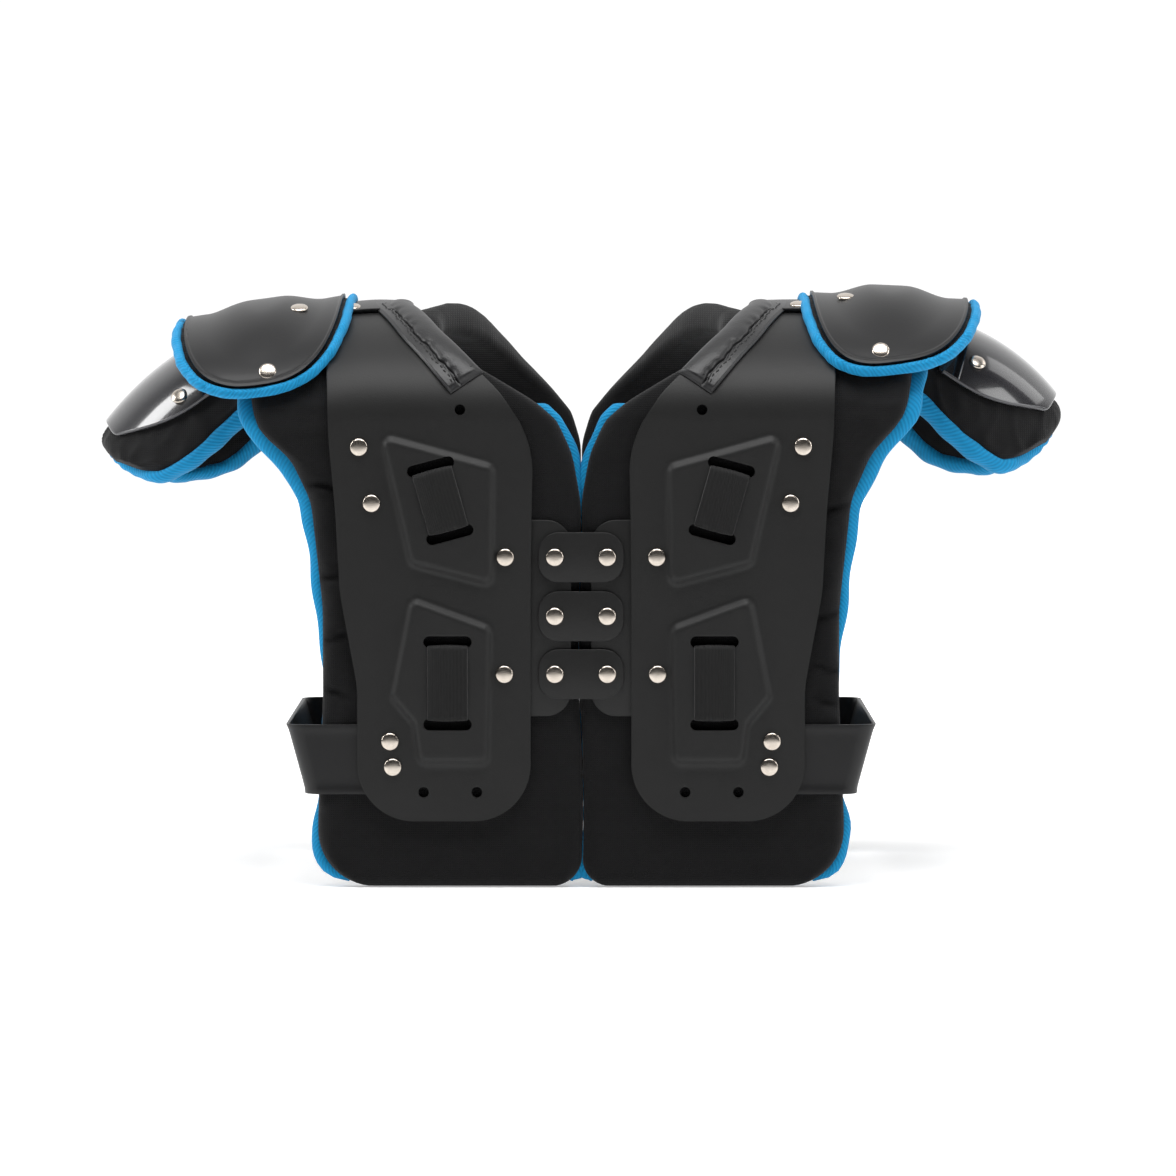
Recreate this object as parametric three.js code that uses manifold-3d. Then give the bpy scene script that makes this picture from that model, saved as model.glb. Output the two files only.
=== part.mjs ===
// Football shoulder pads: two mirrored halves that stand on their hems like an arch.
// Each half is a padded liner under a hard plate on either side, a shoulder band over the top,
// an epaulet flap, an upper arm cup, webbing in slots and a side strap. Three riveted links join the halves.
// Millimetres. +X is the viewer's right, -Y the linked side, +Z up, the origin at the middle of the base.
import * as THREE from "three";
import Module from "manifold-3d";
import { mergeVertices } from "three/addons/utils/BufferGeometryUtils.js";

const wasm = await Module();
wasm.setup();

// Driving dimensions
const HALF_DEPTH = 118; // liner's outer face to the middle plane, front and back
const SPRING_HEIGHT = 280; // where the upright walls turn into the shoulder arch
const ARCH_RISE = 64;
const LINER_THICKNESS = 14;
const LINER_GAP = 1.5; // from the middle plane to each liner half
const LINER_REACH = 200; // from the middle plane to the liner's edge under the epaulet
const SHEET_THICKNESS = 2.2; // hard plastic plates, tabs, links and bands
const CLEARANCE = 0.3; // between pieces that touch
const CURVED_CLEARANCE = 0.8; // between curved pieces whose facets don't line up
const PLATE_INNER = 29; // from the middle plane to the plate's inner edge
const PLATE_WIDTH = 125;
const PLATE_BOTTOM = 40;
const PLATE_CORNER = 34;
const NECK_BINDING_WIDTH = 20.8;
const BAND_INNER = 108;
const BAND_WIDTH = 44;
const EMBOSS_HEIGHT = 4;
const EMBOSS_SLOPE = 5;
const EMBOSS_CORNER = 7;
const SLOT_LENGTH = 29;
const SLOT_WIDTH = 7;
const WEBBING_WIDTH = 26.5;
const WEBBING_THICKNESS = 1.5;
const HOLE_RADIUS = 3.2;
const RIVET_HEAD_RADIUS = 5.2;
const RIVET_HEAD_HEIGHT = 2;
const RIVET_SHANK_RADIUS = 2.2;
const RIVET_SIDES = 10;
const HOLE_SIDES = 10;
const LINK_WIDTH = 51;
const LINK_HEIGHT = 30;
const LINK_CORNER = 12;
const LINK_HEIGHTS = [198.6, 163.2, 128.4]; // middles of the three links above the base
const LINK_RIVET_SPACING = 31.5;
const TAB_INNER = 6;
const TAB_OUTER = 52;
const TAB_BOTTOM = 103;
const TAB_HEIGHT = 118;
const TAB_CORNER = 15;
const EPAULET_MIDDLE = 187;
const EPAULET_WIDTH = 100;
const EPAULET_SPAN = 128; // degrees of the arch that the hard flap covers
const EPAULET_PAD_THICKNESS = 6;
const EPAULET_PAD_BORDER = 5;
const EPAULET_DOME = 4.5;
const CUP_PAST_EPAULET = 22; // from the middle of the epaulet out to where the cup's ridge begins
const CUP_ABOVE_SPRING = 60;
const CUP_START = new THREE.Vector2(EPAULET_MIDDLE + CUP_PAST_EPAULET, SPRING_HEIGHT + CUP_ABOVE_SPRING);
const CUP_LENGTH = 107;
const CUP_START_TILT = 10; // degrees below level at the shoulder
const CUP_END_TILT = 58;
const CUP_SECTION_TILT = 46; // the last section stands steeper than the ridge's end
const CUP_HALF_DEPTH = 66;
const CUP_DROP = 54;
const CUP_PAD_THICKNESS = 15;
const CUP_SWEEP = 80; // degrees each way round the arm
const CUP_STRAP_WIDTH = 40;
const STRAP_HEIGHT = 42;
const STRAP_BOTTOM = 56;
const STRAP_END = 100; // from the middle plane to the side strap's riveted end
const STRAP_REACH = 173;
const STRAP_BEND = 9;
const STRAP_LEAN = 3;

const LAYER_ONE = CLEARANCE; // tabs and the side strap lie on the liner
const LAYER_TWO = LAYER_ONE + SHEET_THICKNESS + CLEARANCE; // plates and links lie on those
const LAYER_THREE = LAYER_TWO + SHEET_THICKNESS + CLEARANCE; // shoulder band and neck binding
const LAYER_FOUR = LAYER_THREE + SHEET_THICKNESS + CURVED_CLEARANCE; // epaulet pad
const LAYER_FIVE = LAYER_FOUR + EPAULET_PAD_THICKNESS + CLEARANCE; // epaulet flap

// A point on the arch, off the liner's outer face. Route 0 to 1 climbs the linked side,
// 1 to 2 goes over the shoulder and 2 to 3 goes down the far side.
function archPoint(x, route, offset) {
  if (route <= 1) return new THREE.Vector3(x, -(HALF_DEPTH + offset), route * SPRING_HEIGHT);
  if (route >= 2) return new THREE.Vector3(x, HALF_DEPTH + offset, (3 - route) * SPRING_HEIGHT);
  const angle = (route - 1) * Math.PI;
  const y = -(HALF_DEPTH + offset) * Math.cos(angle);
  const z = SPRING_HEIGHT + (ARCH_RISE + offset) * Math.sin(angle);
  return new THREE.Vector3(x, y, z);
}

// Closed wall over a grid: pointAt(u, v, layer) with u and v from 0 to 1 and layer 0 or 1.
function wall(rowShares, columns, pointAt) {
  const rows = rowShares.length;
  const across = columns + 1;
  const positions = [];
  for (const layer of [0, 1])
    for (const u of rowShares)
      for (let j = 0; j < across; j++) positions.push(...pointAt(u, j / columns, layer).toArray());
  const at = (layer, i, j) => (layer * rows + i) * across + j;
  const faces = [];
  const quad = (a, b, c, d) => faces.push(a, b, c, a, c, d);
  for (let i = 0; i < rows - 1; i++)
    for (let j = 0; j < columns; j++) {
      quad(at(1, i, j), at(1, i, j + 1), at(1, i + 1, j + 1), at(1, i + 1, j));
      quad(at(0, i, j), at(0, i + 1, j), at(0, i + 1, j + 1), at(0, i, j + 1));
    }
  for (let i = 0; i < rows - 1; i++) {
    quad(at(0, i, 0), at(1, i, 0), at(1, i + 1, 0), at(0, i + 1, 0));
    quad(at(0, i + 1, columns), at(1, i + 1, columns), at(1, i, columns), at(0, i, columns));
  }
  for (let j = 0; j < columns; j++) {
    quad(at(0, 0, j + 1), at(1, 0, j + 1), at(1, 0, j), at(0, 0, j));
    quad(at(0, rows - 1, j), at(1, rows - 1, j), at(1, rows - 1, j + 1), at(0, rows - 1, j + 1));
  }
  return facingOut(positions, faces);
}

// A geometry whose faces point out, whichever way round its grid was made.
function facingOut(positions, faces) {
  const corner = (k) => new THREE.Vector3(...positions.slice(3 * k, 3 * k + 3));
  let volume = 0;
  for (let i = 0; i < faces.length; i += 3)
    volume += corner(faces[i]).dot(corner(faces[i + 1]).cross(corner(faces[i + 2])));
  if (volume < 0)
    for (let i = 0; i < faces.length; i += 3) [faces[i + 1], faces[i + 2]] = [faces[i + 2], faces[i + 1]];
  const geometry = new THREE.BufferGeometry();
  geometry.setAttribute("position", new THREE.Float32BufferAttribute(positions, 3));
  geometry.setIndex(faces);
  return geometry;
}

function solidOf(geometry) {
  const plain = geometry.clone();
  plain.deleteAttribute("normal");
  plain.deleteAttribute("uv");
  const merged = mergeVertices(plain, 1e-3);
  return new wasm.Manifold(
    new wasm.Mesh({
      numProp: 3,
      vertProperties: merged.attributes.position.array,
      triVerts: new Uint32Array(merged.index.array),
    }),
  );
}

function geometryOf(solid) {
  const mesh = solid.getMesh();
  const geometry = new THREE.BufferGeometry();
  geometry.setAttribute("position", new THREE.BufferAttribute(new Float32Array(mesh.vertProperties), 3));
  geometry.setIndex(new THREE.BufferAttribute(new Uint32Array(mesh.triVerts), 1));
  return geometry;
}

// Outline with rounded corners from a ring of [x, z] corners.
function roundedRing(corners, radius, steps = 2) {
  const ring = [];
  corners.forEach((corner, k) => {
    const here = new THREE.Vector2(...corner);
    const before = new THREE.Vector2(...corners[(k + corners.length - 1) % corners.length]);
    const after = new THREE.Vector2(...corners[(k + 1) % corners.length]);
    const inward = here.clone().add(before.sub(here).setLength(radius));
    const outward = here.clone().add(after.sub(here).setLength(radius));
    const bend = new THREE.QuadraticBezierCurve(inward, here, outward);
    ring.push(...bend.getPoints(steps));
  });
  return THREE.ShapeUtils.isClockWise(ring) ? ring.reverse() : ring;
}

function rectangleRing(low, high, radius) {
  const corners = [[low[0], low[1]], [high[0], low[1]], [high[0], high[1]], [low[0], high[1]]];
  return roundedRing(corners, radius);
}

// A prism or a sloped block between two like rings of [x, z] points, at two distances off the liner.
function blockBetween(ringA, offsetA, ringB, offsetB) {
  const place = (ring, offset) => ring.flatMap((p) => [p.x, -(HALF_DEPTH + offset), p.y]);
  const positions = [...place(ringA, offsetA), ...place(ringB, offsetB)];
  const count = ringA.length;
  const faces = [];
  for (const [a, b, c] of THREE.ShapeUtils.triangulateShape(ringA, [])) {
    faces.push(a, b, c);
    faces.push(count + a, count + c, count + b);
  }
  for (let i = 0; i < count; i++) {
    const next = (i + 1) % count;
    faces.push(next, i, count + i, next, count + i, count + next);
  }
  return facingOut(positions, faces);
}

const prism = (ring, low, high) => blockBetween(ring, low, ring, high);

// A ring drawn in by a distance towards its middle.
function drawnIn(ring, distance) {
  const middle = ring.reduce((sum, p) => sum.add(p), new THREE.Vector2()).divideScalar(ring.length);
  return ring.map((p) => p.clone().sub(middle).setLength(p.distanceTo(middle) - distance).add(middle));
}

function circleRing(x, z, radius, sides = HOLE_SIDES) {
  const turn = (k) => (2 * Math.PI * k) / sides;
  return Array.from({ length: sides }, (_, k) =>
    new THREE.Vector2(x + radius * Math.cos(turn(k)), z + radius * Math.sin(turn(k))));
}

// A slot-shaped or strap-shaped ring, turned about its own middle.
function turnedBox(middle, width, height, degrees, corner) {
  const ring = rectangleRing([-width / 2, -height / 2], [width / 2, height / 2], corner);
  const angle = THREE.MathUtils.degToRad(degrees);
  return ring.map((p) => p.rotateAround(new THREE.Vector2(), angle).add(middle));
}

// Reads one column of a table of rows at a route value, straight between rows.
function readTable(table, column, route) {
  const upper = table.findIndex((row) => row.route >= route);
  if (upper <= 0) return table[upper === 0 ? 0 : table.length - 1][column];
  const a = table[upper - 1];
  const b = table[upper];
  return THREE.MathUtils.mapLinear(route, a.route, b.route, a[column], b[column]);
}

// Row stations: each table row, with steps between rows on the arch.
function stations(table, stepsOnArch = 2) {
  const list = [];
  table.forEach((row, k) => {
    list.push(row.route);
    const next = table[k + 1];
    if (!next || next.route <= 1 || row.route >= 2) return;
    for (let n = 1; n < stepsOnArch; n++)
      list.push(THREE.MathUtils.lerp(row.route, next.route, n / stepsOnArch));
  });
  return list;
}

// How far a rounded bottom corner draws the edge in, at a height above the bottom.
function cornerInset(height, radius) {
  if (height >= radius) return 0;
  return radius - Math.sqrt(radius * radius - (radius - height) ** 2);
}

// Liner edges as shares of its reach, from the hem on the linked side over to the far hem.
const LINER_ROWS = [
  { route: 0.0, inner: 0.09, outer: 0.64 },
  { route: 0.03, inner: 0.05, outer: 0.72 },
  { route: 0.08, inner: 0.01, outer: 0.785 },
  { route: 0.15, inner: 0.0, outer: 0.79 },
  { route: 0.4, inner: 0.0, outer: 0.775 },
  { route: 0.6, inner: 0.0, outer: 0.775 },
  { route: 0.83, inner: 0.0, outer: 0.81 },
  { route: 0.93, inner: 0.025, outer: 0.87 },
  { route: 1.0, inner: 0.07, outer: 0.96 },
  { route: 1.06, inner: 0.13, outer: 0.98 },
  { route: 1.12, inner: 0.22, outer: 0.99 },
  { route: 1.2, inner: 0.34, outer: 1.0 },
  { route: 1.3, inner: 0.42, outer: 1.0 },
  { route: 1.5, inner: 0.44, outer: 1.0 },
  { route: 1.62, inner: 0.37, outer: 1.0 },
  { route: 1.72, inner: 0.27, outer: 1.0 },
  { route: 1.82, inner: 0.18, outer: 0.99 },
  { route: 1.92, inner: 0.09, outer: 0.98 },
  { route: 2.0, inner: 0.03, outer: 0.96 },
  { route: 2.07, inner: 0.0, outer: 0.87 },
  { route: 2.17, inner: 0.0, outer: 0.81 },
  { route: 2.4, inner: 0.0, outer: 0.775 },
  { route: 2.85, inner: 0.0, outer: 0.79 },
  { route: 2.92, inner: 0.01, outer: 0.785 },
  { route: 2.97, inner: 0.05, outer: 0.72 },
  { route: 3.0, inner: 0.09, outer: 0.64 },
];

// The collar along the far neckline stands proud of the liner, as shares of its own height.
const COLLAR_HEIGHT = 8;
const COLLAR_WIDTH_SHARE = 0.16;
const COLLAR_START = 1.35;
const COLLAR_END = 2.0;
const LINER_COLUMNS = 5;

function linerGeometry() {
  const edge = (column, route) => LINER_GAP + readTable(LINER_ROWS, column, route) * LINER_REACH;
  return wall(stations(LINER_ROWS), LINER_COLUMNS, (route, v, layer) => {
    const x = THREE.MathUtils.lerp(edge("inner", route), edge("outer", route), v);
    const along = (route - COLLAR_START) / (COLLAR_END - COLLAR_START);
    const onCollar = along > 0 && along < 1 ? Math.sin(Math.PI * along) ** 0.5 : 0;
    const near = Math.max(0, 1 - v / COLLAR_WIDTH_SHARE);
    const proud = COLLAR_HEIGHT * onCollar * near;
    return archPoint(x, route, layer ? proud : -LINER_THICKNESS);
  });
}

// Plate edges as shares of the plate's width, from above its bottom corners to the shoulder.
const PLATE_ROWS = [
  { route: 0.43, inner: 0.01, outer: 0.842 },
  { route: 0.495, inner: 0.01, outer: 0.868 },
  { route: 0.632, inner: 0.01, outer: 0.925 },
  { route: 0.816, inner: 0.005, outer: 0.947 },
  { route: 0.91, inner: 0.0, outer: 0.966 },
  { route: 0.956, inner: 0.02, outer: 0.976 },
  { route: 1.0, inner: 0.062, outer: 0.98 },
  { route: 1.082, inner: 0.158, outer: 0.985 },
  { route: 1.16, inner: 0.287, outer: 0.99 },
  { route: 1.276, inner: 0.459, outer: 1.0 },
  { route: 1.42, inner: 0.6, outer: 1.0 },
];

const PLATE_CORNER_STEPS = 5;

function plateEdges(route) {
  const inset = cornerInset(route * SPRING_HEIGHT - PLATE_BOTTOM, PLATE_CORNER);
  const inner = PLATE_INNER + readTable(PLATE_ROWS, "inner", route) * PLATE_WIDTH + inset;
  const outer = PLATE_INNER + readTable(PLATE_ROWS, "outer", route) * PLATE_WIDTH - inset;
  return { inner, outer };
}

function plateStations() {
  const list = [];
  for (let k = 0; k <= PLATE_CORNER_STEPS; k++) {
    const height = PLATE_CORNER * (1 - Math.cos((k / PLATE_CORNER_STEPS) * (Math.PI / 2)));
    list.push((PLATE_BOTTOM + height) / SPRING_HEIGHT);
  }
  return [...list, ...stations(PLATE_ROWS)];
}

function plateBlank(onFarSide) {
  return wall(plateStations(), 3, (route, v, layer) => {
    const { inner, outer } = plateEdges(route);
    const offset = LAYER_TWO + (layer ? SHEET_THICKNESS : 0);
    return archPoint(THREE.MathUtils.lerp(inner, outer, v), onFarSide ? 3 - route : route, offset);
  });
}

// Raised panels: their corners as [x, z], with slot middles and the slots' turn in degrees.
const PANELS = {
  upper: {
    corners: [[50, 255], [123, 275], [104, 193], [51, 179]],
    slots: [[90, 253], [78.5, 212.5]],
    turn: -15,
  },
  lower: {
    corners: [[52, 158], [103.5, 177], [116, 114], [102.5, 98], [99, 73], [53.5, 73]],
    slots: [[80, 148], [80, 98.5]],
    turn: 0,
  },
};

// Rivets on each plate and its open holes as [x, z].
const PLATE_RIVETS = [[133, 265], [125.5, 231], [45.5, 198.6], [46, 128.4], [114.6, 88], [113, 72.6]];
const PLATE_HOLES = [[72.5, 287], [62.5, 57.5], [94.5, 57.5]];
const CUT_DEPTH = 30; // tools run well past the sheet on either side

function drilled(solid, spots, radius) {
  return spots.reduce(
    (rest, [x, z]) => rest.subtract(solidOf(prism(circleRing(x, z, radius), -CUT_DEPTH, CUT_DEPTH))),
    solid,
  );
}

function plateGeometry() {
  let plate = solidOf(plateBlank(false));
  const face = LAYER_TWO + SHEET_THICKNESS;
  for (const panel of Object.values(PANELS)) {
    const foot = roundedRing(panel.corners, EMBOSS_CORNER);
    const top = drawnIn(foot, EMBOSS_SLOPE);
    plate = plate.add(solidOf(blockBetween(foot, LAYER_TWO + SHEET_THICKNESS / 2, top, face + EMBOSS_HEIGHT)));
    const innerFoot = drawnIn(foot, SHEET_THICKNESS);
    const innerTop = drawnIn(top, SHEET_THICKNESS);
    const hollow = blockBetween(innerFoot, LAYER_ONE, innerTop, LAYER_TWO + EMBOSS_HEIGHT);
    plate = plate.subtract(solidOf(hollow));
    for (const middle of panel.slots) {
      const ring = turnedBox(new THREE.Vector2(...middle), SLOT_LENGTH, SLOT_WIDTH, panel.turn, SLOT_WIDTH / 2.5);
      plate = plate.subtract(solidOf(prism(ring, -CUT_DEPTH, CUT_DEPTH)));
    }
  }
  plate = drilled(plate, PLATE_RIVETS, RIVET_SHANK_RADIUS + CLEARANCE);
  return geometryOf(drilled(plate, PLATE_HOLES, HOLE_RADIUS));
}

// Webbing: a run over the panel with a leg down through each slot.
function webbingGeometry(panel) {
  const [high, low] = panel.slots.map((slot) => new THREE.Vector2(...slot));
  const middle = high.clone().add(low).divideScalar(2);
  const length = high.distanceTo(low);
  const face = LAYER_TWO + SHEET_THICKNESS + EMBOSS_HEIGHT + CLEARANCE;
  const along = high.clone().sub(low).normalize();
  const runShare = length + WEBBING_THICKNESS;
  const degrees = THREE.MathUtils.radToDeg(along.angle()) - 90;
  const run = prism(turnedBox(middle, WEBBING_WIDTH, runShare, degrees, 0.5), face, face + WEBBING_THICKNESS);
  let solid = solidOf(run);
  for (const end of [high, low]) {
    const ring = turnedBox(end, WEBBING_WIDTH, WEBBING_THICKNESS, degrees, 0.5);
    solid = solid.add(solidOf(prism(ring, LAYER_TWO, face + WEBBING_THICKNESS / 2)));
  }
  return geometryOf(solid);
}

// A round head on a shank that passes through the sheets under it.
function rivetGeometry(headSeat, shankFoot) {
  const profile = [
    [0, shankFoot], [RIVET_SHANK_RADIUS, shankFoot], [RIVET_SHANK_RADIUS, headSeat],
    [RIVET_HEAD_RADIUS, headSeat], [0.75 * RIVET_HEAD_RADIUS, headSeat + 0.8 * RIVET_HEAD_HEIGHT],
    [0, headSeat + RIVET_HEAD_HEIGHT],
  ].map(([radius, height]) => new THREE.Vector2(radius, height));
  return new THREE.LatheGeometry(profile, RIVET_SIDES);
}

function tabGeometry() {
  const ring = rectangleRing([TAB_INNER, TAB_BOTTOM], [TAB_OUTER, TAB_BOTTOM + TAB_HEIGHT], TAB_CORNER);
  const linkRivets = LINK_HEIGHTS.map((z) => [LINK_RIVET_SPACING / 2, z]);
  const underPlate = PLATE_RIVETS.filter(([x]) => x < TAB_OUTER);
  const blank = solidOf(prism(ring, LAYER_ONE, LAYER_ONE + SHEET_THICKNESS));
  return geometryOf(drilled(blank, [...linkRivets, ...underPlate], RIVET_SHANK_RADIUS + CLEARANCE));
}

// Plain sheet that joins the halves on the far side, where the real pads are laced.
function farJoinGeometry() {
  const ring = rectangleRing([-TAB_OUTER, TAB_BOTTOM], [TAB_OUTER, TAB_BOTTOM + TAB_HEIGHT], TAB_CORNER);
  return prism(ring, LAYER_ONE, LAYER_ONE + SHEET_THICKNESS);
}

function linkGeometry(height) {
  const low = [-LINK_WIDTH / 2, height - LINK_HEIGHT / 2];
  const high = [LINK_WIDTH / 2, height + LINK_HEIGHT / 2];
  const blank = solidOf(prism(rectangleRing(low, high, LINK_CORNER), LAYER_TWO, LAYER_TWO + SHEET_THICKNESS));
  const spots = [[-LINK_RIVET_SPACING / 2, height], [LINK_RIVET_SPACING / 2, height]];
  return geometryOf(drilled(blank, spots, RIVET_SHANK_RADIUS + CLEARANCE));
}

const evenShares = (count) => Array.from({ length: count + 1 }, (_, k) => k / count);

// Glossy band over the shoulder, lapped on both plates.
const BAND_START = 1.38;

function bandGeometry() {
  return wall(evenShares(8), 2, (u, v, layer) => {
    const route = THREE.MathUtils.lerp(BAND_START, 3 - BAND_START, u);
    return archPoint(BAND_INNER + v * BAND_WIDTH, route, LAYER_THREE + (layer ? SHEET_THICKNESS : 0));
  });
}

// Stitched strip along the plate's neck edge.
const BINDING_START = 1.085;
const BINDING_END = 1.36;

function neckBindingGeometry() {
  return wall(evenShares(8), 2, (u, v, layer) => {
    const route = THREE.MathUtils.lerp(BINDING_START, BINDING_END, u);
    const x = plateEdges(route).inner + v * NECK_BINDING_WIDTH;
    return archPoint(x, route, LAYER_THREE + (layer ? SHEET_THICKNESS : 0));
  });
}

// Epaulet outline: a rounded oblong across the arch, with its ends a little short of a point.
const EPAULET_ROUNDNESS = 2.4;
const EPAULET_END_SHARE = 0.985;

function epauletPoint(u, v, offset, border, dome) {
  const along = EPAULET_END_SHARE * Math.sin((u - 0.5) * Math.PI);
  const half = EPAULET_WIDTH / 2 + border;
  const width = half * (1 - Math.abs(along) ** EPAULET_ROUNDNESS) ** (1 / EPAULET_ROUNDNESS);
  const across = 2 * v - 1;
  const span = (EPAULET_SPAN / 2 + border / 2) / 180;
  const reach = Math.hypot((across * width) / half, along);
  const lift = dome * Math.max(0, 1 - (reach / 0.6) ** 2) ** 0.7;
  return archPoint(EPAULET_MIDDLE + across * width, 1.5 + along * span, offset + lift);
}

function epauletPadGeometry() {
  return wall(evenShares(14), 3, (u, v, layer) =>
    epauletPoint(u, v, LAYER_FOUR + (layer ? EPAULET_PAD_THICKNESS : 0), EPAULET_PAD_BORDER, 0));
}

function epauletFlapGeometry() {
  return wall(evenShares(14), 8, (u, v, layer) =>
    epauletPoint(u, v, LAYER_FIVE + (layer ? SHEET_THICKNESS : 0), 0, layer ? EPAULET_DOME : EPAULET_DOME * 0.8));
}

// A point on the arm cup: u along its ridge, v from -1 to 1 round the arm, offset off the pad's outer face.
function cupPoint(u, v, offset) {
  const steps = 12;
  const ridge = CUP_START.clone();
  const tiltAt = (s) => THREE.MathUtils.degToRad(THREE.MathUtils.lerp(CUP_START_TILT, CUP_END_TILT, s));
  for (let k = 0; k < steps; k++) {
    const tilt = tiltAt((u * (k + 0.5)) / steps);
    const step = (u * CUP_LENGTH) / steps;
    ridge.add(new THREE.Vector2(step * Math.cos(tilt), -step * Math.sin(tilt)));
  }
  const tilt = THREE.MathUtils.degToRad(THREE.MathUtils.lerp(CUP_START_TILT, CUP_SECTION_TILT, u));
  const around = THREE.MathUtils.degToRad(v * CUP_SWEEP);
  const depth = CUP_HALF_DEPTH * (1 - 0.35 * u ** 3) + offset;
  const drop = CUP_DROP * (1 + 0.36 * Math.sin(Math.PI * u) - 0.16 * u) + offset;
  const sink = drop * (1 - Math.cos(around)) - offset;
  return new THREE.Vector3(
    ridge.x - sink * Math.sin(tilt), depth * Math.sin(around), ridge.y - sink * Math.cos(tilt));
}

function cupPadGeometry() {
  return wall(evenShares(7), 12, (u, v, layer) => cupPoint(u, 2 * v - 1, layer ? 0 : -CUP_PAD_THICKNESS));
}

const CUP_CAP_START = 0.14;
const CUP_CAP_END = 0.92;
const CUP_CAP_SWEEP = 0.72;

function cupCapGeometry() {
  return wall(evenShares(7), 10, (u, v, layer) => {
    const along = THREE.MathUtils.lerp(CUP_CAP_START, CUP_CAP_END, u);
    const sweep = CUP_CAP_SWEEP * (1 - 0.4 * u ** 3);
    return cupPoint(along, (2 * v - 1) * sweep, CURVED_CLEARANCE + (layer ? SHEET_THICKNESS : 0));
  });
}

// Hidden strap from the liner's top to the cup's inner end, under the epaulet.
const CUP_STRAP_START = 165;

function cupStrapGeometry() {
  const end = cupPoint(0.1, 0, 0);
  const start = archPoint(CUP_STRAP_START, 1.5, 0);
  const edge = archPoint(LINER_REACH + LINER_GAP, 1.5, 0);
  const root = cupPoint(0, 0, 0);
  const line = [start, edge, root, end];
  return wall([0, 1, 2, 3], 2, (k, v, layer) => {
    const y = (v - 0.5) * CUP_STRAP_WIDTH;
    const lift = CLEARANCE + 0.3 + (layer ? WEBBING_THICKNESS : 0);
    return new THREE.Vector3(line[k].x, y, line[k].z + lift);
  });
}

// Side strap: flat on the liner under each plate, bent round the side.
function sideStrapGeometry() {
  const near = HALF_DEPTH + LAYER_ONE;
  const path = [[STRAP_END, -near], [STRAP_REACH - STRAP_BEND, -near]];
  const bendSteps = 3;
  for (let k = 1; k <= bendSteps; k++) {
    const angle = (k / bendSteps) * (Math.PI / 2);
    const x = STRAP_REACH - STRAP_BEND + STRAP_BEND * Math.sin(angle);
    path.push([x, -near + STRAP_BEND * (1 - Math.cos(angle))]);
  }
  const whole = [...path, ...path.map(([x, y]) => [x, -y]).reverse()];
  const outward = (k) => {
    const a = new THREE.Vector2(...whole[Math.max(0, k - 1)]);
    const b = new THREE.Vector2(...whole[Math.min(whole.length - 1, k + 1)]);
    const tangent = b.sub(a).normalize();
    return new THREE.Vector2(tangent.y, -tangent.x);
  };
  return wall(whole.map((_, k) => k), 1, (k, v, layer) => {
    const thick = layer ? SHEET_THICKNESS : 0;
    const way = outward(k);
    const leanShare = Math.max(0, (whole[k][0] - STRAP_END) / (STRAP_REACH - STRAP_END));
    const lean = STRAP_LEAN * leanShare * (2 * v - 1);
    const x = whole[k][0] + way.x * thick + lean;
    return new THREE.Vector3(x, whole[k][1] + way.y * thick, STRAP_BOTTOM + v * STRAP_HEIGHT);
  });
}

const strapHoles = PLATE_RIVETS.filter(([x, z]) => x > STRAP_END && z < STRAP_BOTTOM + STRAP_HEIGHT);

// Finishes of the real pieces
const material = (color, roughness, metalness = 0) => new THREE.MeshStandardMaterial({ color, roughness, metalness });
const plastic = material(0x2a2a2a, 0.6);
const glossPlastic = material(0x1d1d1f, 0.25);
const cloth = material(0x181818, 0.9);
const leather = material(0x222222, 0.6);
const webbing = material(0x1c1c1c, 0.95);
const nickel = material(0xd8d2c8, 0.25, 1);

const pads = new THREE.Group();

function piece(group, name, geometry, finish) {
  const mesh = new THREE.Mesh(geometry, finish);
  mesh.name = name;
  group.add(mesh);
  return mesh;
}

// Stands a lathed rivet out from the linked side at [x, z].
function placeRivet(group, name, [x, z], headSeat, shankFoot) {
  const rivet = piece(group, name, rivetGeometry(headSeat + HALF_DEPTH, shankFoot + HALF_DEPTH), nickel);
  rivet.rotation.x = Math.PI;
  rivet.position.set(x, 0, z);
}

const PLATE_HEAD_SEAT = LAYER_TWO + SHEET_THICKNESS + CLEARANCE;

for (const [side, mirror] of [["right", 1], ["left", -1]]) {
  const half = new THREE.Group();
  half.scale.x = mirror;
  pads.add(half);
  piece(half, `liner_${side}`, linerGeometry(), cloth);
  piece(half, `plate_${side}`, plateGeometry(), plastic);
  piece(half, `far_plate_${side}`, plateBlank(true), plastic);
  piece(half, `link_tab_${side}`, tabGeometry(), plastic);
  piece(half, `shoulder_band_${side}`, bandGeometry(), glossPlastic);
  piece(half, `neck_binding_${side}`, neckBindingGeometry(), leather);
  piece(half, `epaulet_pad_${side}`, epauletPadGeometry(), cloth);
  piece(half, `epaulet_flap_${side}`, epauletFlapGeometry(), plastic);
  piece(half, `arm_cup_pad_${side}`, cupPadGeometry(), cloth);
  piece(half, `arm_cup_${side}`, cupCapGeometry(), glossPlastic);
  piece(half, `cup_strap_${side}`, cupStrapGeometry(), webbing);
  const strap = drilled(solidOf(sideStrapGeometry()), strapHoles, RIVET_SHANK_RADIUS + CLEARANCE);
  piece(half, `side_strap_${side}`, geometryOf(strap), glossPlastic);
  for (const [level, panel] of Object.entries(PANELS))
    piece(half, `webbing_${level}_${side}`, webbingGeometry(panel), webbing);
  PLATE_RIVETS.forEach((spot, k) =>
    placeRivet(half, `plate_rivet_${side}_${k + 1}`, spot, PLATE_HEAD_SEAT, LAYER_ONE));
}

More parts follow.
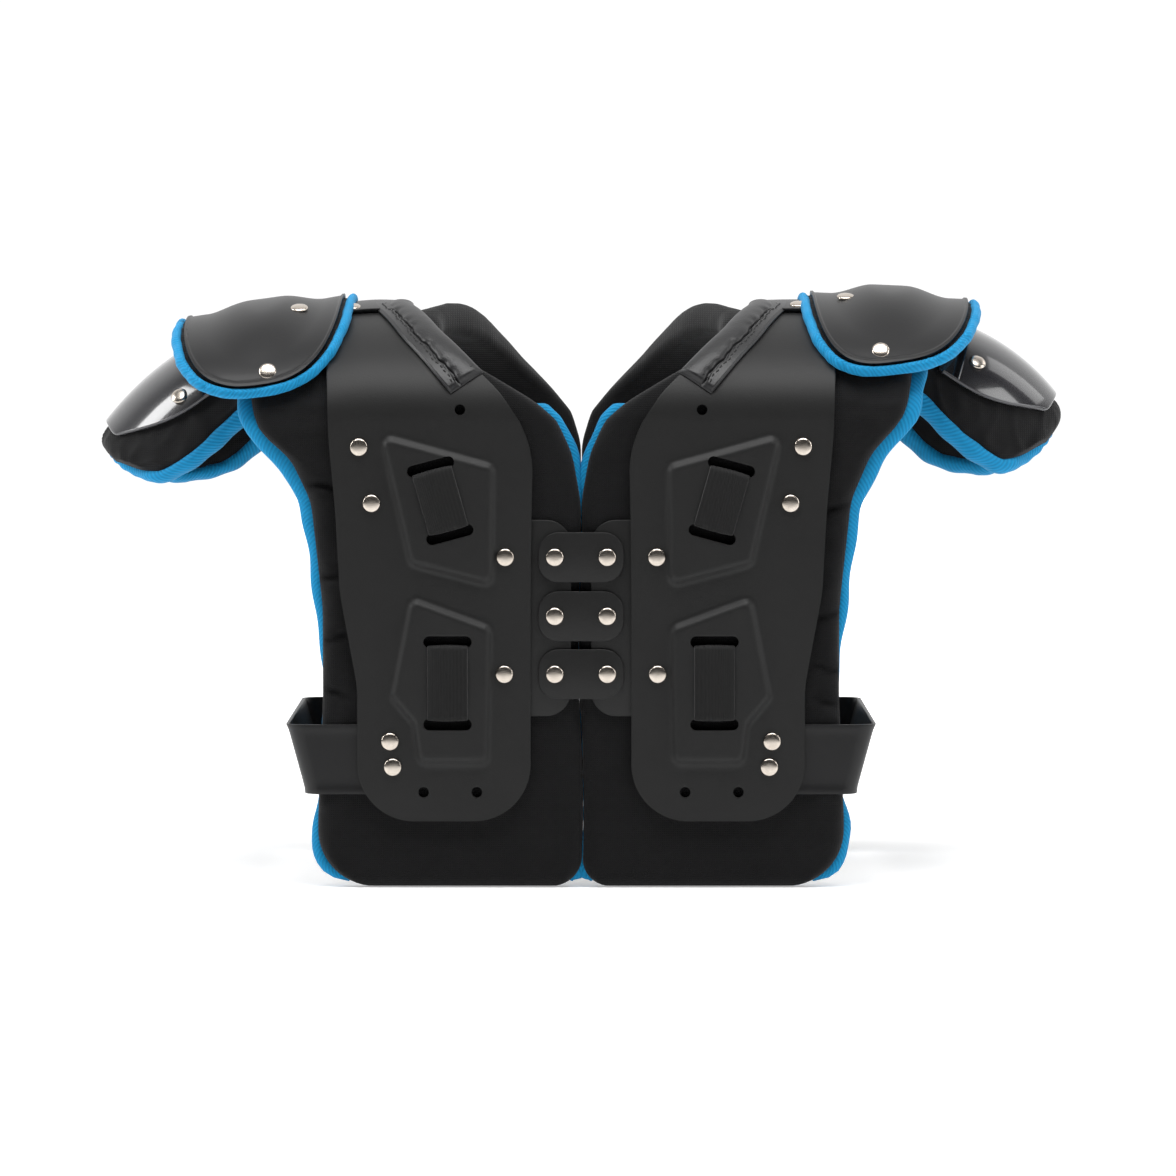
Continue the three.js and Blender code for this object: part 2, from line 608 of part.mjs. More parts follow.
LINK_HEIGHTS.forEach((height, k) => {
  piece(pads, `link_${k + 1}`, linkGeometry(height), plastic);
  for (const [side, mirror] of [["right", 1], ["left", -1]]) {
    const spot = [(mirror * LINK_RIVET_SPACING) / 2, height];
    placeRivet(pads, `link_rivet_${side}_${k + 1}`, spot, PLATE_HEAD_SEAT, LAYER_ONE);
  }
});

const farJoin = piece(pads, "far_join", farJoinGeometry(), plastic);
farJoin.rotation.z = Math.PI;

// The linked side stands further out than the far side, so the group moves to keep the origin in the middle.
const linkedFace = LAYER_TWO + SHEET_THICKNESS + EMBOSS_HEIGHT + CLEARANCE + WEBBING_THICKNESS;
const farFace = LAYER_TWO + SHEET_THICKNESS;
pads.position.y = (linkedFace - farFace) / 2;

export default pads;
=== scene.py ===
# %% [markdown]
# Football shoulder pads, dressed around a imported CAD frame. Each half is a foam liner in black cloth,
# a moulded plate, riveted links, webbing in slots, an epaulet over the shoulder and a glossy arm cup.
# The frame gives the sizes and places, and every cell below makes one piece or one finish.

# %% Load the frame
import math

import bmesh
import bpy
import numpy as np
from mathutils import Matrix, Vector


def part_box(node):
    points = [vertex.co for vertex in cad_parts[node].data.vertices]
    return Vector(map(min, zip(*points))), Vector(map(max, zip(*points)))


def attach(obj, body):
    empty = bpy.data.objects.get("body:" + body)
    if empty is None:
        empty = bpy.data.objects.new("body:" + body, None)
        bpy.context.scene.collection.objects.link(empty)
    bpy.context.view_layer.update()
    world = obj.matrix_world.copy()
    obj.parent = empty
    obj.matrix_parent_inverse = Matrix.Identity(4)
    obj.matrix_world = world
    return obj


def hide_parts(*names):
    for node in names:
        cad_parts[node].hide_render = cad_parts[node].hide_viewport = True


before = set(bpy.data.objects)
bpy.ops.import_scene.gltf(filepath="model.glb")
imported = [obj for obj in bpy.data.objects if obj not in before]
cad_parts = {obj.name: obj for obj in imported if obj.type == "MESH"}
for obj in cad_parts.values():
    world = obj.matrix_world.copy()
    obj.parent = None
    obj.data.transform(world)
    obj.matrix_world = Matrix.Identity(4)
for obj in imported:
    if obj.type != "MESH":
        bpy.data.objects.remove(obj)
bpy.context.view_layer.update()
MM = 0.001
BODY = "root"
SIDES = {"right": 1.0, "left": -1.0}
print("frame holds", len(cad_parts), "nodes")


def on_both_halves(*makers):
    for side, mirror in SIDES.items():
        for make in makers:
            make(side, mirror)


# %% [markdown]
# The liner is a board bent into an arch: upright on both sides and elliptical over the shoulder.
# Every other layer is an offset of that arch, so one function places them all, in millimetres.
# The middle plane and the depth are read from the frame, because the CAD group is shifted a little.

# %% The arch that every layer follows
liner_low, liner_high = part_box("liner_right")
MIDDLE_Y = (liner_low.y + liner_high.y) / 2 / MM
HALF_DEPTH = (liner_high.y - liner_low.y) / 2 / MM
SPRING_HEIGHT = 280.0
ARCH_RISE = 64.0
LINER_THICKNESS = 14.0
LINER_GAP = 0.25
LINER_REACH = 200.0
SHEET = 2.2
CLEARANCE = 0.3
LAYER_ONE = CLEARANCE
LAYER_TWO = LAYER_ONE + SHEET + CLEARANCE
LAYER_THREE = LAYER_TWO + SHEET + CLEARANCE
LAYER_FOUR = LAYER_THREE + SHEET + 0.8
EPAULET_PAD = 3.6
LAYER_FIVE = LAYER_FOUR + EPAULET_PAD + CLEARANCE
CORNER_SPREAD = 0.02  # route
CORNER_STEPS = 9


def arch(x, route, offset):
    """Points in mm off the liner's outer face. Route 0 to 1 is the linked side, and 2 to 3 the far side."""
    x, route, offset = np.broadcast_arrays(*(np.asarray(a, float) for a in (x, route, offset)))
    angle = (np.clip(route, 1, 2) - 1) * np.pi
    y = -(HALF_DEPTH + offset) * np.cos(angle)
    upright = np.minimum(np.minimum(route - 1, 2 - route), 0) * SPRING_HEIGHT
    z = SPRING_HEIGHT + (ARCH_RISE + offset) * np.sin(angle) + upright
    return np.stack([x, y + MIDDLE_Y, z], -1)


def read_table(table, column, route):
    """One column of a table of rows (route, inner, outer), with its corners rounded by a running mean."""
    rows = np.array(table)
    spread = np.linspace(-CORNER_SPREAD, CORNER_SPREAD, CORNER_STEPS)
    return np.mean([np.interp(route + s, rows[:, 0], rows[:, column]) for s in spread], 0)


print("liner half depth", round(HALF_DEPTH, 1), "mm")

# %% [markdown]
# Two mesh makers serve every shell and tape here. A wall joins an outer and an inner grid into one closed
# skin. A sweep carries a rounded section along a path, which suits piping and tape, and it keeps a UV map
# in metres so that a weave follows the tape. Last, the left half is let hang a little lower
# towards its outer shoulder, as it does in the photograph.

# %% Mesh helpers
SHOULDER_SAG = {1.0: 0.0, -1.0: 9.0}  # mm, right half and left half
CUP_SAG = {1.0: 0.0, -1.0: 8.0}
SAG_ACROSS = (120.0, 212.0)
CUP_SAG_ACROSS = (212.0, 300.0)
SAG_UP = (200.0, 300.0)
CREASE_WAVES = 9
CREST_WIDTH = 1.6


def settled(points, mirror):
    """Points of one half, let down by the sag of its shoulder and its cup."""
    points = np.array(points, float)
    sag = SHOULDER_SAG[mirror] * smooth_step(np.abs(points[..., 0]), *SAG_ACROSS)
    sag = sag + CUP_SAG[mirror] * smooth_step(np.abs(points[..., 0]), *CUP_SAG_ACROSS)
    points[..., 2] -= sag * smooth_step(points[..., 2], *SAG_UP)
    return points


def add_object(name, data):
    obj = bpy.data.objects.new(name, data)
    bpy.context.scene.collection.objects.link(obj)
    return obj


def new_object(name, points, faces, mirror, uvs=None):
    points = settled(np.asarray(points, float).reshape(-1, 3), mirror) * MM
    points[:, 0] *= mirror
    mesh = bpy.data.meshes.new(name)
    mesh.from_pydata(points.tolist(), [], [list(f) for f in faces])
    if uvs is not None:
        layer = mesh.uv_layers.new(name="UVMap")
        flat = [uvs[v] for f in faces for v in f]
        layer.data.foreach_set("uv", np.array(flat, np.float32).ravel())
    obj = add_object(name, mesh)
    work = bmesh.new()
    work.from_mesh(mesh)
    bmesh.ops.recalc_face_normals(work, faces=work.faces)
    work.to_mesh(mesh)
    work.free()
    mesh.shade_smooth()
    return obj


def wall(name, outer, inner, mirror=1.0):
    """A closed skin from two grids of points of the same shape."""
    rows, cols = outer.shape[:2]
    at = np.arange(2 * rows * cols).reshape(2, rows, cols)
    faces = []
    for layer in (0, 1):
        a, b = at[layer, :-1, :-1], at[layer, :-1, 1:]
        c, d = at[layer, 1:, 1:], at[layer, 1:, :-1]
        faces += np.stack([a, b, c, d], -1).reshape(-1, 4).tolist()
    border = [(0, j) for j in range(cols)] + [(i, cols - 1) for i in range(1, rows)]
    border += [(rows - 1, j) for j in range(cols - 2, -1, -1)] + [(i, 0) for i in range(rows - 2, 0, -1)]
    for (i, j), (k, m) in zip(border, border[1:] + border[:1]):
        faces.append([int(at[0, i, j]), int(at[0, k, m]), int(at[1, k, m]), int(at[1, i, j])])
    return new_object(name, np.stack([outer, inner]), faces, mirror)


def sweep(name, path, sideways, half_width, half_height, mirror=1.0, closed=False, sides=14):
    """A rounded section along a path: half_width along sideways, half_height across it."""
    path, sideways = np.asarray(path, float), np.asarray(sideways, float)
    count = len(path)
    if closed:
        tangent = np.roll(path, -1, 0) - np.roll(path, 1, 0)
    else:
        tangent = np.gradient(path, axis=0)
    tangent /= np.linalg.norm(tangent, axis=1, keepdims=True)
    side = sideways - tangent * np.sum(sideways * tangent, 1, keepdims=True)
    side /= np.linalg.norm(side, axis=1, keepdims=True)
    up = np.cross(tangent, side)
    turn = np.arange(sides) * 2 * np.pi / sides
    wide = np.broadcast_to(half_width, count)[:, None, None]
    high = np.broadcast_to(half_height, count)[:, None, None]
    ring = path[:, None] + side[:, None] * np.cos(turn)[None, :, None] * wide
    ring = ring + up[:, None] * np.sin(turn)[None, :, None] * high
    at = np.arange(count * sides).reshape(count, sides)
    faces = []
    last = count if closed else count - 1
    for i in range(last):
        k = (i + 1) % count
        for j in range(sides):
            m = (j + 1) % sides
            faces.append([int(at[i, j]), int(at[i, m]), int(at[k, m]), int(at[k, j])])
    if not closed:
        faces += [at[0][::-1].tolist(), at[-1].tolist()]
    steps = np.linalg.norm(np.diff(path, axis=0), axis=1)
    along = np.concatenate([[0], np.cumsum(steps)]) * MM
    around = np.abs(np.sin(turn / 2)) * float(np.max(half_width)) * 2 * MM
    uvs = [(a, b) for a in along for b in around]
    return new_object(name, ring, faces, mirror, uvs)


def finish_piece(obj, material, slot, *nodes):
    obj.data.materials.clear()
    obj.data.materials.append(material)
    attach(obj, BODY)
    if nodes:
        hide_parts(*nodes)
    print(obj.name, len(obj.data.polygons), "faces")


def crumple(a, b, size_mm, seed):
    """Soft creases from a few random plane waves: 1 on a crease's crest and lower between."""
    random = np.random.default_rng(seed)
    total = np.zeros(np.broadcast(a, b).shape)
    for _ in range(CREASE_WAVES):
        turn, phase = random.uniform(0, 2 * np.pi, 2)
        wave = 2 * np.pi / (size_mm * random.uniform(0.7, 1.8))
        total = total + np.sin(wave * (a * math.cos(turn) + b * math.sin(turn)) + phase)
    return np.exp(-((total / CREST_WIDTH) ** 2))


def smooth_step(value, low, high):
    t = np.clip((np.asarray(value, float) - low) / (high - low), 0, 1)
    return t * t * (3 - 2 * t)


def climbs(value, base, *rises):
    """Starts at base, and changes by each amount between its low and its high."""
    return base + sum(amount * smooth_step(value, low, high) for amount, low, high in rises)


# %% [markdown]
# One small function adds a shader node with its settings and links. Colours are sRGB hex values turned to
# linear, and pattern scales come from real sizes in millimetres.

# %% Material helpers
MIX_A, MIX_B = 6, 7  # the mix node's two colour inputs
MIX_RESULT = 2  # its colour output


def linear(hex_colour):
    values = [int(hex_colour[i : i + 2], 16) / 255 for i in (1, 3, 5)]
    return [*(v / 12.92 if v <= 0.04045 else ((v + 0.055) / 1.055) ** 2.4 for v in values), 1.0]


def set_values(node, values):
    for key, value in dict(values).items():
        node.inputs[key].default_value = value


def add_node(tree, kind, settings=(), inputs=(), links=(), feeds=()):
    """Links bring sockets to the node's inputs, and feeds take its outputs on to other sockets."""
    node = tree.nodes.new(kind)
    for key, value in dict(settings).items():
        setattr(node, key, value)
    set_values(node, inputs)
    for key, socket in dict(links).items():
        tree.links.new(socket, node.inputs[key])
    for key, socket in dict(feeds).items():
        tree.links.new(node.outputs[key], socket)
    return node


def new_material(name, values, coordinates="Object"):
    """A Principled material with these socket values, and the coordinates that its pattern follows."""
    material = bpy.data.materials.new(name)
    material.use_nodes = True
    tree = material.node_tree
    shader = tree.nodes["Principled BSDF"]
    set_values(shader, values)
    return material, tree, shader, add_node(tree, "ShaderNodeTexCoord").outputs[coordinates]


def per_metre(size_mm):
    """Noise scale whose features are about this size."""
    return 1.0 / (size_mm * MM)


def bands(period_mm):
    """Wave texture scale whose bands repeat at this distance."""
    return per_metre(period_mm) * math.pi / 10


def two_shades(name, dark, light, patch_mm, values):
    """A material whose colour drifts between two shades over patches of this size."""
    material, tree, shader, where = new_material(name, values)
    patches = add_node(tree, "ShaderNodeTexNoise", inputs={"Scale": per_metre(patch_mm), "Detail": 3.0},
                       links={"Vector": where})
    add_node(tree, "ShaderNodeMix", settings={"data_type": "RGBA"},
             inputs={MIX_A: linear(dark), MIX_B: linear(light)}, links={"Factor": patches.outputs["Fac"]},
             feeds={MIX_RESULT: shader.inputs["Base Color"]})
    return material, tree, shader, where


# %% [markdown]
# The plates are polyethylene sheet moulded against a textured tool. That gives a satin charcoal with a
# pebble grain of about a millimetre. The glossy cups are the same plastic from a polished tool.

# %% Plastic finishes
PLASTIC_PATCH_MM = 35.0


def moulded_plastic(name, dark, light, roughness, grain_mm, grain_depth_mm, coat):
    values = {"Roughness": roughness, "IOR": 1.51, "Specular IOR Level": 0.28, "Coat Weight": coat,
              "Coat Roughness": 0.08}
    material, tree, shader, where = two_shades(name, dark, light, PLASTIC_PATCH_MM, values)
    grain = add_node(tree, "ShaderNodeTexNoise", inputs={"Scale": per_metre(grain_mm), "Detail": 2.0},
                     links={"Vector": where})
    add_node(tree, "ShaderNodeBump", inputs={"Distance": grain_depth_mm * MM, "Strength": 0.5},
             links={"Height": grain.outputs["Fac"]}, feeds={"Normal": shader.inputs["Normal"]})
    return material


# The cap's rim bead is a lighter copy of the polished plastic: its paler colour is a painted highlight along
# the rim.
rim_bead_painted_highlight = moulded_plastic("burnished_plastic_edge", "#3c3c3f", "#4a4a4d", 0.25, 3.0, 0.02, 0.8)
satin_polyethylene = moulded_plastic("satin_polyethylene", "#141415", "#19191a", 0.42, 1.4, 0.08, 0.05)
grained_polyethylene = moulded_plastic("grained_polyethylene", "#191919", "#1e1e1e", 0.50, 0.9, 0.14, 0.0)
polished_polyethylene = moulded_plastic("polished_polyethylene", "#1b1b1e", "#222226", 0.24, 6.0, 0.02, 1.0)

# %% [markdown]
# The liner and pads are covered in a close woven nylon, matte with a little sheen. The tape is a cotton
# twill with a diagonal rib, and the webbing a ribbed elastic. Their ribs follow them, so both read the UV
# map. Thread and ribs are drawn one to two millimetres apart, coarser than real ones, so that they show.

# %% Cloth finishes
CLOTH_PATCH_MM = 22.0
RUMPLE_MM = 18.0
RUMPLE_DEPTH = 4.0  # against the depth of the weave
WEAVE_DEPTH_MM = 0.3


def woven_nylon(name, dark, light, thread_mm):
    values = {"Roughness": 0.78, "Specular IOR Level": 0.15, "Sheen Weight": 0.08, "Sheen Roughness": 0.5}
    material, tree, shader, where = two_shades(name, dark, light, CLOTH_PATCH_MM, values)
    warp, weft = (add_node(tree, "ShaderNodeTexWave", settings={"bands_direction": way},
                           inputs={"Scale": bands(thread_mm)}, links={"Vector": where}) for way in "ZX")
    weave = add_node(tree, "ShaderNodeMath", settings={"operation": "MULTIPLY"},
                     links={0: warp.outputs["Fac"], 1: weft.outputs["Fac"]})
    rumple = add_node(tree, "ShaderNodeTexNoise", inputs={"Scale": per_metre(RUMPLE_MM), "Detail": 4.0},
                      links={"Vector": where})
    both = add_node(tree, "ShaderNodeMath", settings={"operation": "MULTIPLY_ADD"}, inputs={1: RUMPLE_DEPTH},
                    links={0: rumple.outputs["Fac"], 2: weave.outputs["Value"]})
    add_node(tree, "ShaderNodeBump", inputs={"Distance": WEAVE_DEPTH_MM * MM, "Strength": 0.6},
             links={"Height": both.outputs["Value"]}, feeds={"Normal": shader.inputs["Normal"]})
    return material


def ribbed_tape(name, dark, light, rib_mm, slant, depth_mm, sheen):
    """Twill or webbing, whose ribs cross the tape at a slant."""
    values = {"Roughness": 0.75, "Sheen Weight": sheen, "Specular IOR Level": 0.3}
    material, tree, shader, where = new_material(name, values, "UV")
    turned = add_node(tree, "ShaderNodeMapping", inputs={"Rotation": (0, 0, slant)}, links={"Vector": where})
    ribs = add_node(tree, "ShaderNodeTexWave", settings={"bands_direction": "X"},
                    inputs={"Scale": bands(rib_mm), "Distortion": 0.6, "Detail": 1.0},
                    links={"Vector": turned.outputs["Vector"]})
    add_node(tree, "ShaderNodeMix", settings={"data_type": "RGBA"},
             inputs={MIX_A: linear(dark), MIX_B: linear(light)}, links={"Factor": ribs.outputs["Fac"]},
             feeds={MIX_RESULT: shader.inputs["Base Color"]})
    add_node(tree, "ShaderNodeBump", inputs={"Distance": depth_mm * MM, "Strength": 0.8},
             links={"Height": ribs.outputs["Fac"]}, feeds={"Normal": shader.inputs["Normal"]})
    return material


black_nylon = woven_nylon("black_nylon", "#0b0b0c", "#131314", 1.3)
blue_twill = ribbed_tape("blue_twill", "#007db0", "#008fc6", 2.2, math.radians(35), 0.25, 0.05)
black_webbing = ribbed_tape("black_elastic_webbing", "#090909", "#0f0f0f", 1.3, math.radians(90), 0.2, 0.1)

# %% [markdown]
# Rivets are nickel-plated steel caps, bright and slightly warm. The neck binding is coated leathercloth
# with a fine crinkled grain, sewn with black thread.

# %% Nickel, leathercloth and thread
metal = {"Metallic": 1.0, "Roughness": 0.26}
nickel = two_shades("nickel_plated_steel", "#b8aea2", "#d9d0c6", 3.0, metal)[0]
thread = two_shades("black_sewing_thread", "#060606", "#101010", 1.0, {"Roughness": 0.6})[0]


def coated_leathercloth(dark, light, patch_mm, crinkle_mm, depth_mm):
    values = {"Roughness": 0.42}
    material, tree, shader, where = two_shades("coated_leathercloth", dark, light, patch_mm, values)
    crinkle = add_node(tree, "ShaderNodeTexVoronoi", inputs={"Scale": per_metre(crinkle_mm)},
                       links={"Vector": where})
    add_node(tree, "ShaderNodeBump", inputs={"Distance": depth_mm * MM, "Strength": 0.5},
             links={"Height": crinkle.outputs["Distance"]}, feeds={"Normal": shader.inputs["Normal"]})
    return material


binding_leather = coated_leathercloth("#151516", "#1c1c1e", 12.0, 1.1, 0.15)
print(len(bpy.data.materials), "finishes")

# %% [markdown]
# The liner is one quilted board for each half: foam blocks in cloth, rounded at the edges, with tucks
# across its outer strip where the blocks meet, and a proud collar along the far neckline. The pillow is a
# thickness that falls away at the edges, with soft random creases on it.

# %% The liner
LINER_EDGES = [  # route, inner and outer edge as shares of the reach
    (0.0, 0.0, 0.79), (0.15, 0.0, 0.79), (0.4, 0.0, 0.775), (0.6, 0.0, 0.775), (0.83, 0.0, 0.81),
    (0.93, 0.025, 0.87), (1.0, 0.07, 0.96), (1.06, 0.13, 0.98), (1.12, 0.22, 0.99), (1.2, 0.34, 1.0),
    (1.3, 0.42, 1.0), (1.42, 0.42, 1.0), (1.5, 0.38, 1.0), (1.6, 0.315, 1.0), (1.72, 0.25, 1.0),
    (1.82, 0.18, 0.99), (1.92, 0.09, 0.98), (2.0, 0.03, 0.96), (2.07, 0.0, 0.87), (2.17, 0.0, 0.81),
    (2.4, 0.0, 0.775), (2.85, 0.0, 0.79), (3.0, 0.0, 0.79),
]
HEM_CORNERS = {1: 17.0, 2: 34.0}  # radius in mm of the hem's inner and outer corner
EDGE_ROUND = 8.0  # mm over which the pad's edge falls away
TUCK_HEIGHTS = {"right": (228.0, 165.0, 131.0, 113.0), "left": (241.0, 188.0, 150.0, 116.0)}
TUCK_DEPTH = 4.5
TUCK_HALF_WIDTH = 2.2
BARE_CLOTH = (134.0, 146.0)  # mm from the middle, where the cloth comes out from under the plate
COLLAR_HEIGHT = 8.0
COLLAR_SHARE = 0.14  # of the liner's width
COLLAR_START = 1.35  # route
CREASE_SIZE = 34.0
CREASES_APART = 400.0  # mm between the creases of the two halves, so that they differ
HEM_ROUTE = 0.05  # over which the rows of points close up towards a hem


def seam_line(route):
    """The two halves meet on a slightly wavy line, not the same at the front and the back."""
    way = np.minimum(route, 3 - route)
    return 1.5 * np.sin(route * 9.0) * (1 - smooth_step(way, 0.65, 0.85))


def hem_inset(column, route):
    """How far a hem's round corner draws the edge in."""
    radius = HEM_CORNERS[column]
    over = np.maximum(radius - np.minimum(route, 3 - route) * SPRING_HEIGHT, 0)
    return radius - np.sqrt(np.maximum(radius**2 - over**2, 0))


def liner_edge(column, route, mirror):
    inset = hem_inset(column, route)
    edge = LINER_GAP + read_table(LINER_EDGES, column, route) * LINER_REACH
    return edge + inset + mirror * seam_line(route) if column == 1 else edge - inset


def make_liner(side, mirror):
    hem = 1 - np.cos(np.linspace(0, np.pi / 2, 10))
    between = np.linspace(HEM_ROUTE, 3 - HEM_ROUTE, 260)[1:-1]
    route = np.concatenate([hem * HEM_ROUTE, between, 3 - hem[::-1] * HEM_ROUTE])
    share = (1 - np.cos(np.linspace(0, np.pi, 64))) / 2
    inner, outer = liner_edge(1, route, mirror)[:, None], liner_edge(2, route, mirror)[:, None]
    width = outer - inner
    x = inner + share[None] * width
    from_edge = np.minimum(np.minimum(share, 1 - share)[None] * width,
                           np.minimum(route, 3 - route)[:, None] * SPRING_HEIGHT)
    full = np.sqrt(1 - (1 - np.clip(from_edge / EDGE_ROUND, 0, 1)) ** 2)
    height = np.where(route < 1.5, route, 3 - route)[:, None] * SPRING_HEIGHT
    bare = smooth_step(x, *BARE_CLOTH)
    tuck = sum(np.exp(-(((height - z - 3 * np.sin(x / 9.0 + z)) / TUCK_HALF_WIDTH) ** 2))
               for z in TUCK_HEIGHTS[side])
    along = np.clip((route - COLLAR_START) / (2 - COLLAR_START), 0, 1)[:, None]
    collar = COLLAR_HEIGHT * np.sin(np.pi * along) ** 0.5 * np.exp(-((share[None] / COLLAR_SHARE) ** 2))
    stretch = np.where(route < 1.5, 1, 1.3)[:, None]
    creases = crumple(x + CREASES_APART * (mirror + 1), height * stretch, CREASE_SIZE, 5)
    puff = 1.3 * bare * np.sin(height / 17.0 + x / 31.0) + (0.4 + 1.2 * bare) * creases
    relief = collar - TUCK_DEPTH * tuck * bare + puff * 0.6
    top = -LINER_THICKNESS / 2 + LINER_THICKNESS / 2 * full + relief * full
    low = -LINER_THICKNESS / 2 - LINER_THICKNESS / 2 * full
    route = route[:, None]
    piece = wall(f"liner_cloth_{side}", arch(x, route, top), arch(x, route, low - 0.4), mirror)
    finish_piece(piece, black_nylon, "padding_fabric", f"liner_{side}")


on_both_halves(make_liner)

# %% [markdown]
# Blue twill tape binds the liner's cut edges. It is a flat oval section swept along the edge, set towards
# the inner face, so that it shows past the black cloth along the arm side and in the neck's V.

# %% Liner tape
TAPE_DEPTH = 0.72  # share of the liner's thickness below its outer face
TAPE_HALF_HEIGHT = 3.4
TAPE_RIPPLE = 0.7
LINER_TAPES = {  # shows and half_width start at a value in mm and climb by (amount, from route, to route)
    "arm_side": {"column": 2, "route": (0.014, 2.986), "corner_fill": 0.4,
                 "shows": (3.5, (-5.0, 0.12, 0.2), (5.5, 0.44, 0.62), (3.0, 0.7, 0.95)),
                 "half_width": (4.2, (2.4, 0.6, 0.9))},
    "neck_side": {"column": 1, "route": (0.014, 1.055), "corner_fill": 0.62,
                  "shows": (1.4, (-2.4, 0.08, 0.14), (3.6, 0.76, 0.9)),
                  "half_width": (7.4, (-4.0, 0.03, 0.09), (1.4, 0.8, 0.95))},
}


def make_liner_tapes(side, mirror):
    for name, tape in LINER_TAPES.items():
        start, end = tape["route"]
        column = tape["column"]
        sign = 1 if column == 2 else -1
        route = np.linspace(start, end, 220)
        way = np.minimum(route, 3 - route)
        half_width = climbs(way, *tape["half_width"])
        ends = smooth_step(route, start, start + 0.02) * (1 - smooth_step(route, end - 0.02, end))
        fill = tape["corner_fill"] * hem_inset(column, route)
        if column == 2:
            fill = fill * climbs(way, 0.3, (0.7, start, start + 0.07))
        past_edge = climbs(way, *tape["shows"]) * ends + fill - half_width * 0.75
        x = liner_edge(column, route, mirror) + sign * past_edge
        ripple = TAPE_RIPPLE * np.sin(route * 43.0 + mirror) * ends
        path = arch(x + sign * ripple, route, -LINER_THICKNESS * TAPE_DEPTH)
        sideways = np.tile([float(sign), 0.0, 0.0], (len(route), 1))
        half_height = TAPE_HALF_HEIGHT * (0.5 + 0.5 * ends)
        half_width = half_width * (0.4 + 0.6 * ends)
        piece = sweep(f"{name}_tape_{side}", path, sideways, half_width, half_height, mirror)
        finish_piece(piece, blue_twill, "blue_binding")


on_both_halves(make_liner_tapes)

# %% [markdown]
# The plate is the main hard piece. It is a dense wall on the arch whose raised panels are a height that
# climbs with the distance inside each outline, which gives soft moulded shoulders. The slots and holes are
# then cut through with one boolean, and a bevel breaks every cut edge.

# %% Plate outline and panel heights
PLATE_INNER = 29.0
PLATE_WIDTH = 125.0
PLATE_BOTTOM = 40.0
PLATE_CORNER = 34.0
PLATE_END = 1.42
PLATE_EDGES = [
    (0.43, 0.01, 0.842), (0.495, 0.01, 0.868), (0.632, 0.01, 0.925), (0.816, 0.005, 0.947),
    (0.91, 0.0, 0.966), (0.956, 0.02, 0.976), (1.0, 0.062, 0.98), (1.082, 0.158, 0.985),
    (1.16, 0.287, 0.99), (1.276, 0.459, 1.0), (1.42, 0.6, 1.0),
]
PANELS = {
    "upper": {"corners": [(50, 255), (123, 275), (104, 193), (51, 179)],
              "slots": [(90, 253), (78.5, 212.5)], "turn": -15.0},
    "lower": {"corners": [(52, 158), (103.5, 177), (116, 114), (102.5, 98), (99, 73), (53.5, 73)],
              "slots": [(80, 148), (80, 98.5)], "turn": 0.0},
}
EMBOSS_HEIGHT = 4.0
EMBOSS_SLOPE = 5.0
EMBOSS_CORNER = 7.0
SLOT_LENGTH = 29.0
SLOT_WIDTH = 7.0
PLATE_HOLES = [(72.5, 287), (62.5, 57.5), (94.5, 57.5)]
HOLE_RADIUS = 3.2


def plate_edges(route):
    short = np.maximum(PLATE_CORNER + PLATE_BOTTOM - route * SPRING_HEIGHT, 0)
    inset = PLATE_CORNER - np.sqrt(np.maximum(PLATE_CORNER**2 - short**2, 0))
    inner, outer = (read_table(PLATE_EDGES, column, route) for column in (1, 2))
    return PLATE_INNER + inner * PLATE_WIDTH + inset, PLATE_INNER + outer * PLATE_WIDTH - inset


def drawn_in(corners, by):
    """The outline moved inwards by this much, whichever way its corners run."""
    corners = [np.array(c, float) for c in corners]
    nexts = corners[1:] + corners[:1]
    turn = math.copysign(1, sum(a[0] * b[1] - b[0] * a[1] for a, b in zip(corners, nexts)))
    moved = []
    for before, here, after in zip(corners[-1:] + corners[:-1], corners, nexts):
        into, out = ((b - a) / np.linalg.norm(b - a) for a, b in ((before, here), (here, after)))
        normals = np.array([[-into[1], into[0]], [-out[1], out[0]]]) * turn
        moved.append(here + np.linalg.solve(normals, [by, by]))
    return moved


def distance_outside(x, z, corners):
    """Distance from an outline for points outside it, and 0 inside."""
    nearest, inside = np.full(x.shape, 1e6), np.zeros(x.shape, bool)
    for a, b in zip(corners, corners[1:] + corners[:1]):
        run = b - a
        share = np.clip(((x - a[0]) * run[0] + (z - a[1]) * run[1]) / run.dot(run), 0, 1)
        nearest = np.minimum(nearest, np.hypot(x - a[0] - share * run[0], z - a[1] - share * run[1]))
        crosses = (a[1] > z) != (b[1] > z)
        inside ^= crosses & (x < a[0] + run[0] * (z - a[1]) / (run[1] or 1e-9))
    return np.where(inside, 0, nearest)


def emboss(x, z):
    rise = np.zeros_like(x)
    for panel in PANELS.values():
        gap = distance_outside(x, z, drawn_in(panel["corners"], EMBOSS_CORNER))
        rise = np.maximum(rise, 1 - smooth_step(gap, EMBOSS_CORNER - EMBOSS_SLOPE, EMBOSS_CORNER))
    return rise * EMBOSS_HEIGHT


# %% Cutters for slots and holes
CUTTER_OUT = 25.0
CUTTER_IN = 30.0
PLATE_BEVEL = 0.6
SHEET_BEVEL = 0.5
BEVEL_ANGLE = math.radians(40)
SHARP_ANGLE = math.radians(55)


def prism(ring, near, far):
    """Points and faces of an outline of (x, z) carried from y = near to y = far."""
    count = len(ring)
    points = [(x, y, z) for y in (near, far) for x, z in ring]
    faces = [list(range(count))[::-1], list(range(count, 2 * count))]
    faces += [[i, (i + 1) % count, count + (i + 1) % count, count + i] for i in range(count)]
    return points, faces


